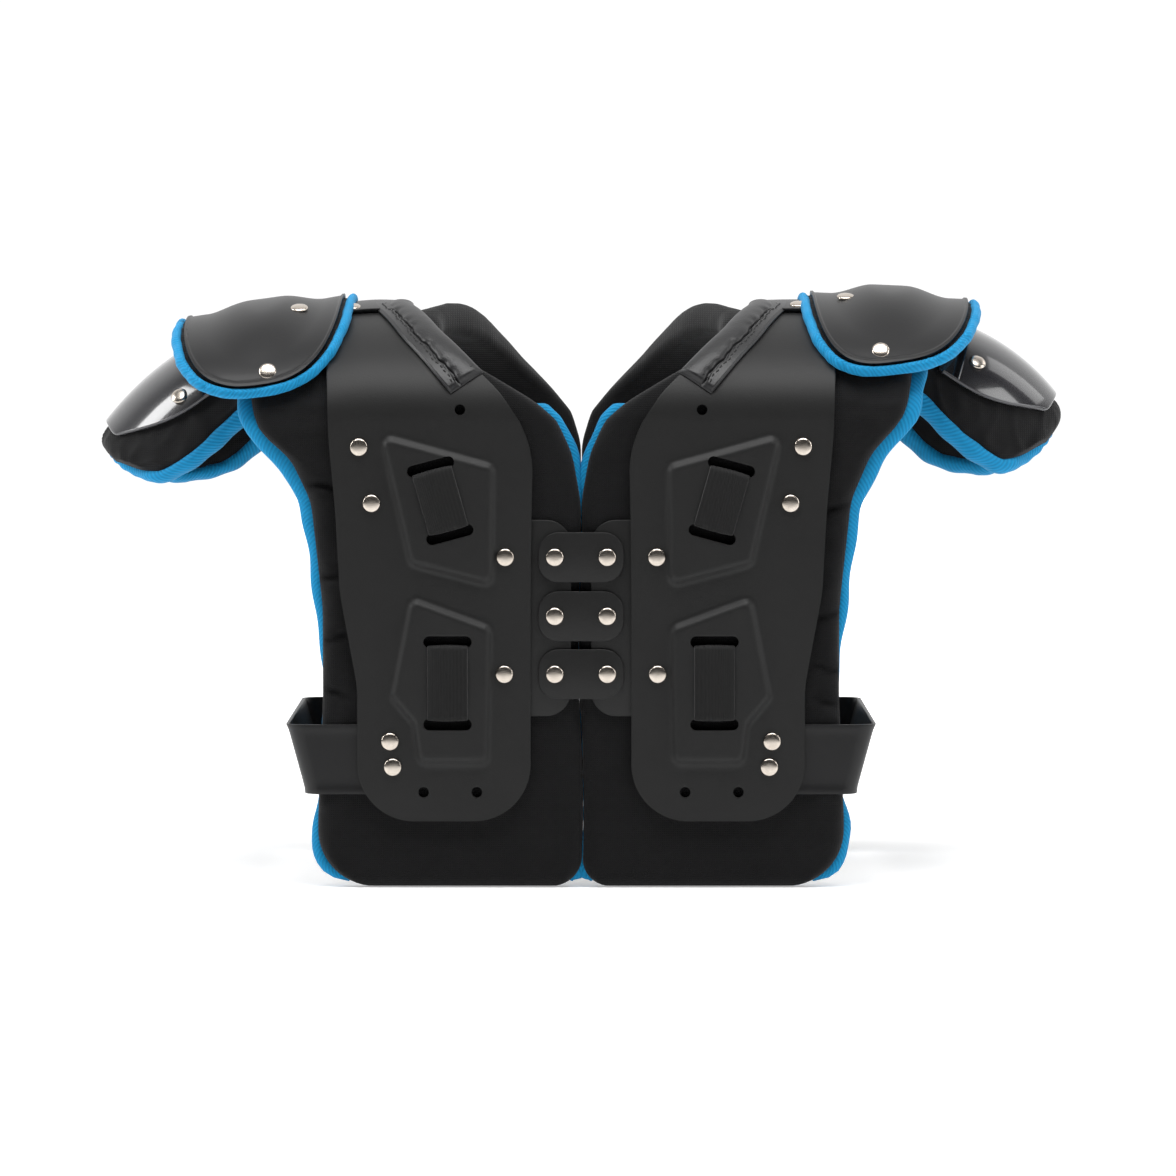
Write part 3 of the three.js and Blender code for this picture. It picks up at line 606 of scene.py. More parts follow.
def cutter(middle, half_length, half_width, turn_degrees):
    """A round-ended bar that runs through the plate at [x, z]."""
    bend = np.linspace(-np.pi / 2, np.pi / 2, 10)
    straight = max(half_length - half_width, 0.0)
    ends = [(straight + half_width * np.cos(t), half_width * np.sin(t)) for t in bend]
    ends += [(-straight - half_width * np.cos(t), -half_width * np.sin(t)) for t in bend]
    angle = math.radians(turn_degrees)
    ring = [(middle[0] + u * math.cos(angle) - v * math.sin(angle),
             middle[1] + u * math.sin(angle) + v * math.cos(angle)) for u, v in ends]
    return prism(ring, MIDDLE_Y - HALF_DEPTH - CUTTER_OUT, MIDDLE_Y - HALF_DEPTH + CUTTER_IN)


def cut_through(obj, shapes, mirror):
    points, faces = [], []
    for shape_points, shape_faces in shapes:
        faces += [[i + len(points) for i in f] for f in shape_faces]
        points += shape_points
    tool = new_object(obj.name + "_tool", points, faces, mirror)
    cut = obj.modifiers.new("cut", "BOOLEAN")
    cut.operation = "DIFFERENCE"
    cut.solver = "EXACT"
    cut.object = tool
    apply_modifiers(obj)
    bpy.data.objects.remove(tool)


def apply_modifiers(obj):
    """Bakes every modifier into the mesh."""
    graph = bpy.context.evaluated_depsgraph_get()
    graph.update()
    mesh = bpy.data.meshes.new_from_object(obj.evaluated_get(graph))
    obj.modifiers.clear()
    obj.data = mesh


def soften_edges(obj, width_mm):
    bevel = obj.modifiers.new("edge", "BEVEL")
    bevel.width = width_mm * MM
    bevel.segments = 2
    bevel.limit_method = "ANGLE"
    bevel.angle_limit = BEVEL_ANGLE
    bevel.harden_normals = False
    apply_modifiers(obj)
    obj.data.set_sharp_from_angle(angle=SHARP_ANGLE)


# %% The plates


def make_plate(side, mirror, far):
    low = PLATE_BOTTOM / SPRING_HEIGHT
    corner = PLATE_CORNER / SPRING_HEIGHT
    foot = low + corner * (1 - np.cos(np.linspace(0, np.pi / 2, 24)))
    route = np.concatenate([foot, np.linspace(low + corner, PLATE_END, 190)[1:]])
    inner, outer = plate_edges(route)
    share = np.linspace(0, 1, 96)
    x = inner[:, None] + share[None] * (outer - inner)[:, None]
    route = route[:, None]
    rise = 0.0 if far else emboss(x, np.broadcast_to(route * SPRING_HEIGHT, x.shape))
    way = 3 - route if far else route
    name = "far_plate" if far else "plate"
    outer, inner = arch(x, way, LAYER_TWO + SHEET + rise), arch(x, way, LAYER_TWO + rise)
    plate = wall(f"{name}_shell_{side}", outer, inner, mirror)
    if not far:
        shapes = [cutter(middle, SLOT_LENGTH / 2, SLOT_WIDTH / 2, panel["turn"])
                  for panel in PANELS.values() for middle in panel["slots"]]
        shapes += [cutter(m, HOLE_RADIUS, HOLE_RADIUS, 0) for m in PLATE_HOLES]
        cut_through(plate, shapes, mirror)
    soften_edges(plate, PLATE_BEVEL)
    finish_piece(plate, grained_polyethylene, "moulded_plate", f"{name}_{side}")


for side, mirror in SIDES.items():
    make_plate(side, mirror, far=False)
    make_plate(side, mirror, far=True)

# %% [markdown]
# Links and tabs are flat sheet with generous corners. They are rounded outlines given a thickness, with a
# small bevel that catches the light as the edge of die-cut plastic does.

# %% Links, tabs and the far join


def rounded_sheet(name, low, high, radius, offset, node, behind=False):
    bend = np.linspace(0, np.pi / 2, 9)
    corners = [((high[0] - radius, high[1] - radius), 0), ((low[0] + radius, high[1] - radius), 1),
               ((low[0] + radius, low[1] + radius), 2), ((high[0] - radius, low[1] + radius), 3)]
    ring = [(c[0] + radius * math.cos(t + k * np.pi / 2), c[1] + radius * math.sin(t + k * np.pi / 2))
            for c, k in corners for t in bend]
    way = 1 if behind else -1
    near, far = (MIDDLE_Y + way * (HALF_DEPTH + offset + thick) for thick in (0, SHEET))
    sheet = new_object(name, *prism(ring, near, far), 1.0)
    soften_edges(sheet, SHEET_BEVEL)
    finish_piece(sheet, grained_polyethylene, "moulded_plate", node)


LINK_HEIGHTS = (198.6, 163.2, 128.4)
LINK_HALF = (25.5, 15.0)
LINK_CORNER = 12.0
TAB_X = (6.0, 52.0)
TAB_Z = (103.0, 221.0)
TAB_CORNER = 15.0
for k, z in enumerate(LINK_HEIGHTS):
    rounded_sheet(f"link_plate_{k + 1}", (-LINK_HALF[0], z - LINK_HALF[1]), (LINK_HALF[0], z + LINK_HALF[1]),
                  LINK_CORNER, LAYER_TWO, f"link_{k + 1}")
for name, node, left, right in (
    ("tab_sheet_right", "link_tab_right", TAB_X[0], TAB_X[1]),
    ("tab_sheet_left", "link_tab_left", -TAB_X[1], -TAB_X[0]),
    ("far_join_sheet", "far_join", -TAB_X[1], TAB_X[1]),
):
    rounded_sheet(name, (left, TAB_Z[0]), (right, TAB_Z[1]), TAB_CORNER, LAYER_ONE, node,
                  behind=node == "far_join")

# %% [markdown]
# The side strap is a strip of satin plastic that loops out at the waist and joins the front to the back.
# Its path in plan is two straight runs with a small bend, and it leans inwards towards its lower edge.

# %% Side straps
STRAP_FACE = 0.3
STRAP_END = 100.0
STRAP_REACH = 173.0
STRAP_BEND = 9.0
STRAP_Z = (56.0, 98.0)
STRAP_SHEET = 1.5
STRAP_RIM = 0.7
STRAP_ROWS = 13
STRAP_LEAN = (-9.0, 2.5)  # mm that the loop's lower and upper edges stand inside or outside the reach


def strap_plan():
    """Points and outward directions of the loop in plan, from the linked side to the far side."""
    wall_y = HALF_DEPTH + STRAP_FACE
    points, outward = [], []
    for x in np.linspace(STRAP_END, STRAP_REACH - STRAP_BEND, 14):
        points.append((x, -wall_y))
        outward.append((0.0, -1.0))
    for t in np.linspace(0, np.pi / 2, 14)[1:]:
        x = STRAP_REACH - STRAP_BEND * (1 - math.sin(t))
        points.append((x, -wall_y + STRAP_BEND * (1 - math.cos(t))))
        outward.append((math.sin(t), -math.cos(t)))
    for y in np.linspace(-wall_y + STRAP_BEND, 0, 30)[1:]:
        points.append((STRAP_REACH, y))
        outward.append((1.0, 0.0))
    points += [(x, -y) for x, y in points[-2::-1]]
    outward += [(x, -y) for x, y in outward[-2::-1]]
    return np.array(points), np.array(outward)


def make_side_strap(side, mirror):
    plan, outward = strap_plan()
    share = np.linspace(0, 1, STRAP_ROWS)[None]
    z = np.broadcast_to(STRAP_Z[0] + share * (STRAP_Z[1] - STRAP_Z[0]), (len(plan), STRAP_ROWS))
    loop = smooth_step(plan[:, 0], STRAP_END + 35, STRAP_REACH)[:, None]
    lean = loop * (STRAP_LEAN[0] + share * (STRAP_LEAN[1] - STRAP_LEAN[0]))
    rim = STRAP_RIM * smooth_step(np.abs(share - 0.5), 0.40, 0.47)

    def face(offset):
        x = plan[:, 0, None] + outward[:, 0, None] * offset + lean
        y = plan[:, 1, None] + outward[:, 1, None] * offset + MIDDLE_Y + 0 * x
        return np.stack([x, y, z], -1)

    strap = wall(f"side_strap_loop_{side}", face(STRAP_SHEET + rim), face(0.0), mirror)
    soften_edges(strap, SHEET_BEVEL)
    finish_piece(strap, satin_polyethylene, "moulded_plate", f"side_strap_{side}")


on_both_halves(make_side_strap)

# %% [markdown]
# Elastic webbing lies on each raised panel and dives through the slots at both ends. It is swept with a
# flat rounded section, so the tape keeps its weave and its real thickness.

# %% Webbing
WEBBING_HALF_WIDTH = 12.2
WEBBING_HALF_THICKNESS = 0.8
WEBBING_FACE = LAYER_TWO + SHEET + EMBOSS_HEIGHT + CLEARANCE + WEBBING_HALF_THICKNESS
WEBBING_TURN = 2.6  # radius of the turn into a slot


def make_webbing(side, mirror, level, panel):
    top, bottom = (np.array(s, float) for s in panel["slots"])
    run = bottom - top
    run_length = np.linalg.norm(run)
    run /= run_length
    middle = (top + bottom) / 2
    reach = run_length / 2 - WEBBING_TURN
    legs = np.linspace(LAYER_TWO + 0.4, WEBBING_FACE - WEBBING_TURN, 5)
    turn = np.linspace(0, np.pi / 2, 7)[1:]
    along = [-reach] * 5 + (-reach + WEBBING_TURN * (1 - np.cos(turn))).tolist()
    depth = legs.tolist() + (WEBBING_FACE - WEBBING_TURN + WEBBING_TURN * np.sin(turn)).tolist()
    flat = np.linspace(-reach + WEBBING_TURN, 0, 9)[1:]
    along += flat.tolist()
    depth += (WEBBING_FACE + 0.5 * smooth_step(flat, -reach, 0)).tolist()
    along += [-a for a in along[-2::-1]]
    depth += depth[-2::-1]
    along, depth = np.array(along), np.array(depth)
    x, z = middle[0] + run[0] * along, middle[1] + run[1] * along
    path = np.stack([x, MIDDLE_Y - HALF_DEPTH - depth, z], -1)
    angle = math.radians(panel["turn"])
    sideways = np.tile([math.cos(angle), 0.0, math.sin(angle)], (len(path), 1))
    tape = sweep(f"webbing_tape_{level}_{side}", path, sideways, WEBBING_HALF_WIDTH, WEBBING_HALF_THICKNESS,
                 mirror, sides=20)
    finish_piece(tape, black_webbing, "webbing", f"webbing_{level}_{side}")


for side, mirror in SIDES.items():
    for level, panel in PANELS.items():
        make_webbing(side, mirror, level, panel)

# %% [markdown]
# The neck edge of each plate is bound with leathercloth: a soft roll over the edge, then a flat flange
# sewn down along a wavy seam. A satin band caps the shoulder where front and back plates meet.

# %% Neck bindings and shoulder bands
BINDING_WIDTH = 25.0
BINDING_ROUTE = (1.135, 1.44)
SEAM_SHARE = 0.64  # where the roll ends, as a share of the strip's width
ROLL_HEIGHT = 4.0
FLANGE_HEIGHT = 2.3
GROOVE = (0.045, 0.075)  # shares past the seam between which the flange rises
BAND_X = (108.0, 152.0)
BAND_ROUTE = (1.38, 1.62)
BAND_CROWN = 0.6


def binding_place(route, share, offset):
    """A point on the strip: route runs along the plate's neck edge, and share goes squarely off it."""
    route, share, offset = np.broadcast_arrays(*(np.asarray(a, float) for a in (route, share, offset)))
    step = 0.004
    edge = plate_edges(route)[0]
    before, after = (arch(plate_edges(route + s)[0], route + s, LAYER_THREE) for s in (-step, step))
    along = (after - before) / np.linalg.norm(after - before, axis=-1, keepdims=True)
    up_arch = (arch(edge, route + step, LAYER_THREE) - arch(edge, route - step, LAYER_THREE)) / (2 * step)
    stretch = np.linalg.norm(up_arch, axis=-1)
    square = np.array([1.0, 0.0, 0.0]) - along * along[..., :1]
    square /= np.linalg.norm(square, axis=-1, keepdims=True)
    distance = share * BINDING_WIDTH - 1.5
    new_x = edge + distance * square[..., 0]
    new_route = route + distance * np.sum(square * up_arch, -1) / stretch**2
    return arch(new_x, new_route, offset)


def seam_wave(route):
    return 0.020 * np.sin(route * 95.0) + 0.016 * np.sin(route * 231.0)


def make_neck_binding(side, mirror):
    route = np.linspace(*BINDING_ROUTE, 110)[:, None]
    share = np.linspace(0, 1, 97)[None]
    seam = SEAM_SHARE + seam_wave(route)
    roll = np.sqrt(np.clip(1 - ((share / seam - 0.5) / 0.5) ** 2, 0, 1))
    flange = smooth_step(share, seam + GROOVE[0], seam + GROOVE[1])
    flange = flange * (1 - smooth_step(share, 0.93, 1.0) * 0.5)
    pucker = 0.12 * np.sin(route * 320.0 + share * 3) * np.exp(-(((share - seam) / 0.12) ** 2))
    ends = smooth_step(route, BINDING_ROUTE[0], BINDING_ROUTE[0] + 0.012)
    rise = (ROLL_HEIGHT * roll * (share < seam) + FLANGE_HEIGHT * flange + pucker) * ends + 0.5
    strip = wall(f"neck_roll_{side}", binding_place(route, share, LAYER_THREE + rise),
                 binding_place(route, share, LAYER_THREE - 0.1), mirror)
    finish_piece(strip, binding_leather, "binding_leather", f"neck_binding_{side}")


def make_shoulder_band(side, mirror):
    route = np.linspace(*BAND_ROUTE, 60)[:, None]
    share = np.linspace(0, 1, 25)[None]
    x = BAND_X[0] + share * (BAND_X[1] - BAND_X[0])
    crown = BAND_CROWN * np.sin(np.pi * share)
    outer, inner = arch(x, route, LAYER_THREE + SHEET + crown), arch(x, route, LAYER_THREE)
    band = wall(f"gloss_band_{side}", outer, inner, mirror)
    soften_edges(band, PLATE_BEVEL)
    finish_piece(band, satin_polyethylene, "gloss_plastic", f"shoulder_band_{side}")


on_both_halves(make_neck_binding, make_shoulder_band)

# %% [markdown]
# An epaulet is a domed flap of hard plastic on a thin pad that runs over the shoulder. Its outline is a
# rounded oblong, so a square grid is pressed into that outline and then laid on the arch.

# %% Epaulets
EPAULET_MIDDLES = {"right": 189.5, "left": 194.0}
EPAULET_HALF = 48.0
EPAULET_SPAN = 123.0
EPAULET_POWER = 3.0
EPAULET_CENTRES = {"right": 1.5, "left": 1.472}  # route
EPAULET_SKEW = {"right": 0.035, "left": -0.005}  # route by which each is turned on the shoulder
FLAP_SHEET = 1.6
PAD_BORDER = 4.0
PIPING_BORDER = PAD_BORDER + 0.6
EPAULET_DOME = 6.5
EPAULET_DROOP = (1.2, 5.5)  # mm that the inner and outer edges hang below the arch


def oval_grid(count):
    """A square grid pressed into the rounded oblong: across, along, and how far out each point is."""
    s = np.sin(np.linspace(-np.pi / 2, np.pi / 2, count))
    u, v = np.meshgrid(s, s)
    x, y = u * np.sqrt(1 - v * v / 2), v * np.sqrt(1 - u * u / 2)
    reach = np.clip(np.hypot(x, y), 1e-9, 1)
    oblong = (np.abs(x) ** EPAULET_POWER + np.abs(y) ** EPAULET_POWER + 1e-12) ** (1 / EPAULET_POWER)
    scale = reach / oblong
    return x * scale, y * scale, reach


def epaulet_droop(across):
    return EPAULET_DROOP[0] + (EPAULET_DROOP[1] - EPAULET_DROOP[0]) * (1 + across) / 2


def epaulet(side, across, along, offset, border):
    span = (EPAULET_SPAN / 2 + border / 2) / 180
    route = EPAULET_CENTRES[side] + along * span + across * EPAULET_SKEW[side]
    x = EPAULET_MIDDLES[side] + across * (EPAULET_HALF + border)
    return arch(x, route, offset - epaulet_droop(across))


def epaulet_lift(across, along):
    """The moulded boss in the middle of the flap, with a soft crease round it."""
    return EPAULET_DOME * (1 - smooth_step(np.hypot(across, along * 1.05 + 0.1), 0.22, 0.78))


def make_epaulet(side, mirror):
    across, along, reach = oval_grid(81)
    lift = epaulet_lift(across, along)
    rim = 0.9 * smooth_step(reach, 0.955, 0.975)
    outer = epaulet(side, across, along, LAYER_FIVE + FLAP_SHEET + lift + rim, 0)
    inner = epaulet(side, across, along, LAYER_FIVE + 0.8 * lift, 0)
    flap = wall(f"epaulet_dome_{side}", outer, inner, mirror)
    soften_edges(flap, SHEET_BEVEL)
    finish_piece(flap, satin_polyethylene, "moulded_plate", f"epaulet_flap_{side}")
    full = np.sqrt(1 - np.clip((reach - 0.86) / 0.14, 0, 1) ** 2)
    turn = np.arctan2(along, across)
    pucker = 0.35 * np.sin(turn * 46) * smooth_step(reach, 0.8, 0.95)
    middle = LAYER_FOUR + EPAULET_PAD / 2
    top = epaulet(side, across, along, middle + (EPAULET_PAD / 2 + pucker) * full, PAD_BORDER)
    low = epaulet(side, across, along, middle - EPAULET_PAD / 2 * full, PAD_BORDER)
    pad = wall(f"epaulet_cushion_{side}", top, low, mirror)
    finish_piece(pad, black_nylon, "padding_fabric", f"epaulet_pad_{side}")
    bend = np.linspace(0, 2 * np.pi, 421)[:-1]
    power = 2 / EPAULET_POWER
    edge_x = np.sign(np.cos(bend)) * np.abs(np.cos(bend)) ** power
    edge_y = np.sign(np.sin(bend)) * np.abs(np.sin(bend)) ** power
    wave = 0.6 * np.sin(bend * 17 + mirror) + 0.35 * np.sin(bend * 41)
    path = epaulet(side, edge_x, edge_y, middle - 0.5 + 0.5 * wave, PIPING_BORDER + 0.5 * wave)
    above, below = (epaulet(side, edge_x, edge_y, height, PIPING_BORDER) for height in (middle + 5.0, middle))
    piping = sweep(f"epaulet_piping_{side}", path, above - below, 3.9 + 0.25 * wave, 3.1, mirror, closed=True)
    finish_piece(piping, blue_twill, "blue_binding")


on_both_halves(make_epaulet)

# %% [markdown]
# The arm cup hangs off the liner outside the epaulet: a glossy cap on a puffy pad, bent over the upper
# arm. Its ridge line drops away from the shoulder, and sections round the arm hang from that ridge. Blue
# twill binds the pad's whole lower rim.

# %% Arm cup shape
CUP_START = (209.0, 340.0)
CUP_LENGTH = 111.0
RIDGE_TILT = (10.0, 58.0)  # degrees below level, from the shoulder to the tip
SECTION_TILT = (10.0, 40.0)
CUP_HALF_DEPTH = 66.0
CUP_DROP = 54.0
CUP_PAD = 15.0
CUP_AROUND = 92.0  # mm from the ridge to the rim, round the arm
CUP_EDGE_ROUND = 8.0
PUCKER_REACH = 14.0
CUP_SWEEP = 80.0
FAR_EXTRA_SWEEP = 26.0  # the far side wraps further round, as seen below the near rim
CAP_SHARES = (0.14, 0.87)
CAP_SWEEP = 0.72
CAP_GAP = 0.8
HANGER_HALF_WIDTH = 20.0
HANGER_HALF_HEIGHT = 0.8


def cup(u, v, offset):
    """u runs along the ridge from shoulder to tip, and v from -1 to 1 round the arm."""
    u, v, offset = np.broadcast_arrays(*(np.asarray(a, float) for a in (u, v, offset)))
    start, turn = math.radians(RIDGE_TILT[0]), math.radians(RIDGE_TILT[1] - RIDGE_TILT[0])
    ridge = start + turn * u
    x = CUP_START[0] + CUP_LENGTH * (np.sin(ridge) - math.sin(start)) / turn
    z = CUP_START[1] - CUP_LENGTH * (math.cos(start) - np.cos(ridge)) / turn
    tilt = np.radians(SECTION_TILT[0] + (SECTION_TILT[1] - SECTION_TILT[0]) * u)
    around = v * np.radians(CUP_SWEEP + FAR_EXTRA_SWEEP * (1 - u) * (v > 0))
    depth = CUP_HALF_DEPTH * (1 - 0.35 * u**3) + offset
    drop = CUP_DROP * (1 + 0.33 * np.sin(np.pi * u) + 0.03 * u) + offset
    sink = drop * (1 - np.cos(around)) - offset
    y = depth * np.sin(around) + MIDDLE_Y
    return np.stack([x - sink * np.sin(tilt), y, z - sink * np.cos(tilt)], -1)


def pad_sweep(u):
    return 1 - 0.5 * np.clip((u - 0.78) / 0.22, 0, 1) ** 2.2


# %% Arm cups


def make_cup_pad(side, mirror):
    u = (1 - np.cos(np.linspace(0, np.pi, 70))) / 2
    share = np.sin(np.linspace(-np.pi / 2, np.pi / 2, 91))
    v = share[None] * pad_sweep(u)[:, None]
    uu = np.broadcast_to(u[:, None], v.shape)
    side_gap = (1 - np.abs(share))[None] * CUP_AROUND
    tip_gap = np.minimum(u, 1 - u)[:, None] * CUP_LENGTH
    full = np.sqrt(1 - (1 - np.clip(np.minimum(side_gap, tip_gap) / CUP_EDGE_ROUND, 0, 1)) ** 2)
    edge = np.exp(-side_gap / PUCKER_REACH) + np.exp(-(1 - uu) * CUP_LENGTH / PUCKER_REACH)
    folds = np.sin(uu * 21 + 3.1 * v) * np.sin(uu * 8.7 + 1.3) + 0.5 * np.sin(uu * 43 - 5 * v + 0.7)
    creases = crumple(uu * CUP_LENGTH, v * CUP_AROUND, 24.0, 7 if mirror > 0 else 11)
    pucker = 0.5 * edge * folds + (0.5 + 1.4 * np.clip(edge, 0, 1)) * (creases - 0.4)
    outer = cup(uu, v, -CUP_PAD / 2 + (CUP_PAD / 2 + 0.2 + pucker) * full)
    inner = cup(uu, v, -CUP_PAD / 2 - (CUP_PAD / 2 + 0.5 * pucker) * full)
    pad = wall(f"arm_cup_cushion_{side}", outer, inner, mirror)
    finish_piece(pad, black_nylon, "padding_fabric", f"arm_cup_pad_{side}")


def cup_rim(u_start, u_end, sweep_at, count):
    """Shares u and v round an edge: near side, then the tip, then the far side."""
    down = np.linspace(u_start, u_end, count)
    tip = np.linspace(-1, 1, count // 2)[1:-1] * sweep_at(u_end)
    u = np.concatenate([down, np.full(len(tip), u_end), down[::-1]])
    v = np.concatenate([-sweep_at(down), tip, sweep_at(down)[::-1]])
    return u, v


def running_mean(values, width):
    padded = np.pad(values, ((width // 2, width // 2), (0, 0)), mode="edge")
    return np.stack([np.convolve(column, np.ones(width) / width, "valid") for column in padded.T], -1)


def make_cup_tape(side, mirror):
    u, v = cup_rim(0.02, 0.95, pad_sweep, 150)
    tip = smooth_step(u, 0.84, 0.95)
    middle = -CUP_PAD * (0.5 + 0.36 * tip)
    path = running_mean(cup(u, v, middle), 17)
    outwards = running_mean(cup(u, v, middle) - cup(u * 0.86, v * 0.9, middle), 17)
    length = np.linspace(0, 1, len(path))
    gather = np.exp(-(((length - 0.5) / 0.13) ** 2))
    wave = np.sin(length * 60) * 0.4 + gather * np.sin(length * 260) * 0.5
    tape = sweep(f"arm_cup_tape_{side}", path, outwards, 5.6 + wave, 8.3 - 4.0 * tip, mirror, sides=22)
    finish_piece(tape, blue_twill, "blue_binding")


def cap_sweep(share):
    return CAP_SWEEP * (1 - 0.4 * share**3)


def make_cup_cap(side, mirror):
    s = np.linspace(0, 1, 70)
    u = (CAP_SHARES[0] + s * (CAP_SHARES[1] - CAP_SHARES[0]))[:, None]
    v = np.sin(np.linspace(-np.pi / 2, np.pi / 2, 91))[None] * cap_sweep(s)[:, None]
    lift = 1.6 * smooth_step(s, 0.13, 0.2)[:, None]
    cap = wall(f"arm_cup_cap_{side}", cup(u, v, CAP_GAP + SHEET + lift), cup(u, v, CAP_GAP + lift), mirror)
    soften_edges(cap, SHEET_BEVEL)
    finish_piece(cap, polished_polyethylene, "gloss_plastic", f"arm_cup_{side}")


def make_cap_bead(side, mirror):
    s, v = cup_rim(0.03, 1.0, cap_sweep, 120)
    u = CAP_SHARES[0] + s * (CAP_SHARES[1] - CAP_SHARES[0])
    path = running_mean(cup(u, v, CAP_GAP + SHEET / 2 + 1.2), 9)
    up = cup(u, v, 5.0) - cup(u, v, 0.0)
    bead = sweep(f"arm_cup_bead_{side}", path, up, 1.5, 1.1, mirror, sides=12)
    # The bead's paler plastic is a painted highlight along the cap's rim.
    finish_piece(bead, rim_bead_painted_highlight, "gloss_plastic")


def make_cup_strap(side, mirror):
    flat = np.linspace(165, 204, 12)
    ends = cup(np.array([0.0, 0.05, 0.1]), 0.0, 0.9)
    path = np.stack([flat, np.full(12, MIDDLE_Y), np.full(12, SPRING_HEIGHT + ARCH_RISE + 1.4)], -1)
    path = running_mean(np.concatenate([path, ends]), 3)
    sideways = np.tile([0.0, 1.0, 0.0], (len(path), 1))
    strap = sweep(f"cup_hanger_{side}", path, sideways, HANGER_HALF_WIDTH, HANGER_HALF_HEIGHT, mirror,
                  sides=20)
    finish_piece(strap, black_webbing, "webbing", f"cup_strap_{side}")


on_both_halves(make_cup_pad, make_cup_tape, make_cup_cap, make_cap_bead, make_cup_strap)

# %% [markdown]
# Rivets and stitches repeat, so a Geometry Nodes tree puts one small part on every point and turns it to
# the point's own direction. The result is made a plain mesh at once, so that nothing live is left.

# %% The scatter tree


def scatter_tree():
    tree = bpy.data.node_groups.new("place_part_on_points", "GeometryNodeTree")
    for name, kind in (("Points", "Geometry"), ("Part", "Object"), ("Material", "Material")):
        tree.interface.new_socket(name, in_out="INPUT", socket_type="NodeSocket" + kind)
    tree.interface.new_socket("Geometry", in_out="OUTPUT", socket_type="NodeSocketGeometry")
    into, out = tree.nodes.new("NodeGroupInput"), tree.nodes.new("NodeGroupOutput")
    part = add_node(tree, "GeometryNodeObjectInfo", links={"Object": into.outputs["Part"]})
    up, aim = (add_node(tree, "GeometryNodeInputNamedAttribute", settings={"data_type": "FLOAT_VECTOR"},
                        inputs={"Name": name}) for name in ("up", "aim"))
    turned = add_node(tree, "FunctionNodeAlignRotationToVector", settings={"axis": "Z"},
                      links={"Vector": up.outputs["Attribute"]})
    along = add_node(tree, "FunctionNodeAlignRotationToVector", settings={"axis": "X", "pivot_axis": "Z"},
                     links={"Rotation": turned.outputs["Rotation"], "Vector": aim.outputs["Attribute"]})
    points = add_node(tree, "GeometryNodeMeshToPoints", links={"Mesh": into.outputs["Points"]})
    placed = add_node(tree, "GeometryNodeInstanceOnPoints",
                      links={"Points": points.outputs["Points"], "Instance": part.outputs["Geometry"],
                             "Rotation": along.outputs["Rotation"]})
    real = add_node(tree, "GeometryNodeRealizeInstances", links={"Geometry": placed.outputs["Instances"]})
    add_node(tree, "GeometryNodeSetMaterial",
             links={"Geometry": real.outputs["Geometry"], "Material": into.outputs["Material"]},
             feeds={"Geometry": out.inputs["Geometry"]})
    return tree


SCATTER = scatter_tree()


def scatter(name, part, places, material, slot, *nodes):
    """places: rows of (point in mm, up direction, aim direction) in the model's own frame."""
    points = bpy.data.meshes.new(name)
    points.from_pydata([tuple(np.array(p) * MM) for p, _, _ in places], [], [])
    for key, k in (("up", 1), ("aim", 2)):
        layer = points.attributes.new(key, "FLOAT_VECTOR", "POINT")
        layer.data.foreach_set("vector", np.array([row[k] for row in places], np.float32).ravel())
    obj = add_object(name, points)
    placing = obj.modifiers.new("placing", "NODES")
    placing.node_group = SCATTER
    ids = {s.name: s.identifier for s in SCATTER.interface.items_tree if s.in_out == "INPUT"}
    placing[ids["Part"]] = part
    placing[ids["Material"]] = material
    apply_modifiers(obj)
    bpy.data.objects.remove(part)
    obj.data.shade_smooth()
    finish_piece(obj, material, slot, *nodes)


def lathe(name, profile, sides):
    """A closed turned part about Z from (radius, height) rows in mm; the first and last radius are 0."""
    turn = np.arange(sides) * 2 * np.pi / sides
    points, faces, rings = [], [], []
    for radius, height in profile:
        if radius == 0:
            rings.append([len(points)] * sides)
            points.append((0.0, 0.0, height))
        else:
            rings.append(list(range(len(points), len(points) + sides)))
            points += [(radius * math.cos(t), radius * math.sin(t), height) for t in turn]
    for a, b in zip(rings, rings[1:]):
        for j in range(sides):
            k = (j + 1) % sides
            face = [a[j], a[k], b[k], b[j]]
            faces.append(list(dict.fromkeys(face)))
    return new_object(name, points, faces, 1.0)


# %% [markdown]
# Each cap is stamped sheet: a low crown with a rolled edge, on a hollow shank that is only seen from
# behind. The same cap closes the links, the plates, the epaulets, the bands and the cups.

# %% Rivets
PLATE_RIVETS = [(133, 265), (125.5, 231), (45.5, 198.6), (46, 128.4), (114.6, 88), (113, 72.6)]
LINK_RIVET_X = 15.75
HEAD_SEAT = LAYER_THREE
HEAD_PROFILE = [(0, -4.8), (2.2, -4.8), (2.2, 0.0), (5.0, 0.0), (5.35, 0.35), (5.3, 0.9), (4.9, 1.35),
                (3.9, 1.75), (2.4, 2.0), (1.0, 2.08), (0, 2.1)]
SHOULDER_RIVETS = {  # x and route, per side, as the photograph shows them
    "right": {"flap": [(180.0, 1.19), (161.5, 1.40)], "band": [(133.0, 1.405)], "cup": [(0.36, -0.52)]},
    "left": {"flap": [(188.0, 1.165), (171.5, 1.37)], "band": [(140.0, 1.40)], "cup": [(0.42, -0.60)]},
}


def flap_height(side, x, route):
    across = (x - EPAULET_MIDDLES[side]) / EPAULET_HALF
    along = (route - EPAULET_CENTRES[side] - across * EPAULET_SKEW[side]) / (EPAULET_SPAN / 360)
    return LAYER_FIVE + FLAP_SHEET + float(epaulet_lift(across, along)) - epaulet_droop(across)


def outward_on(surface, a, b, offset):
    point = surface(a, b, offset)
    return point, surface(a, b, offset + 1.0) - point


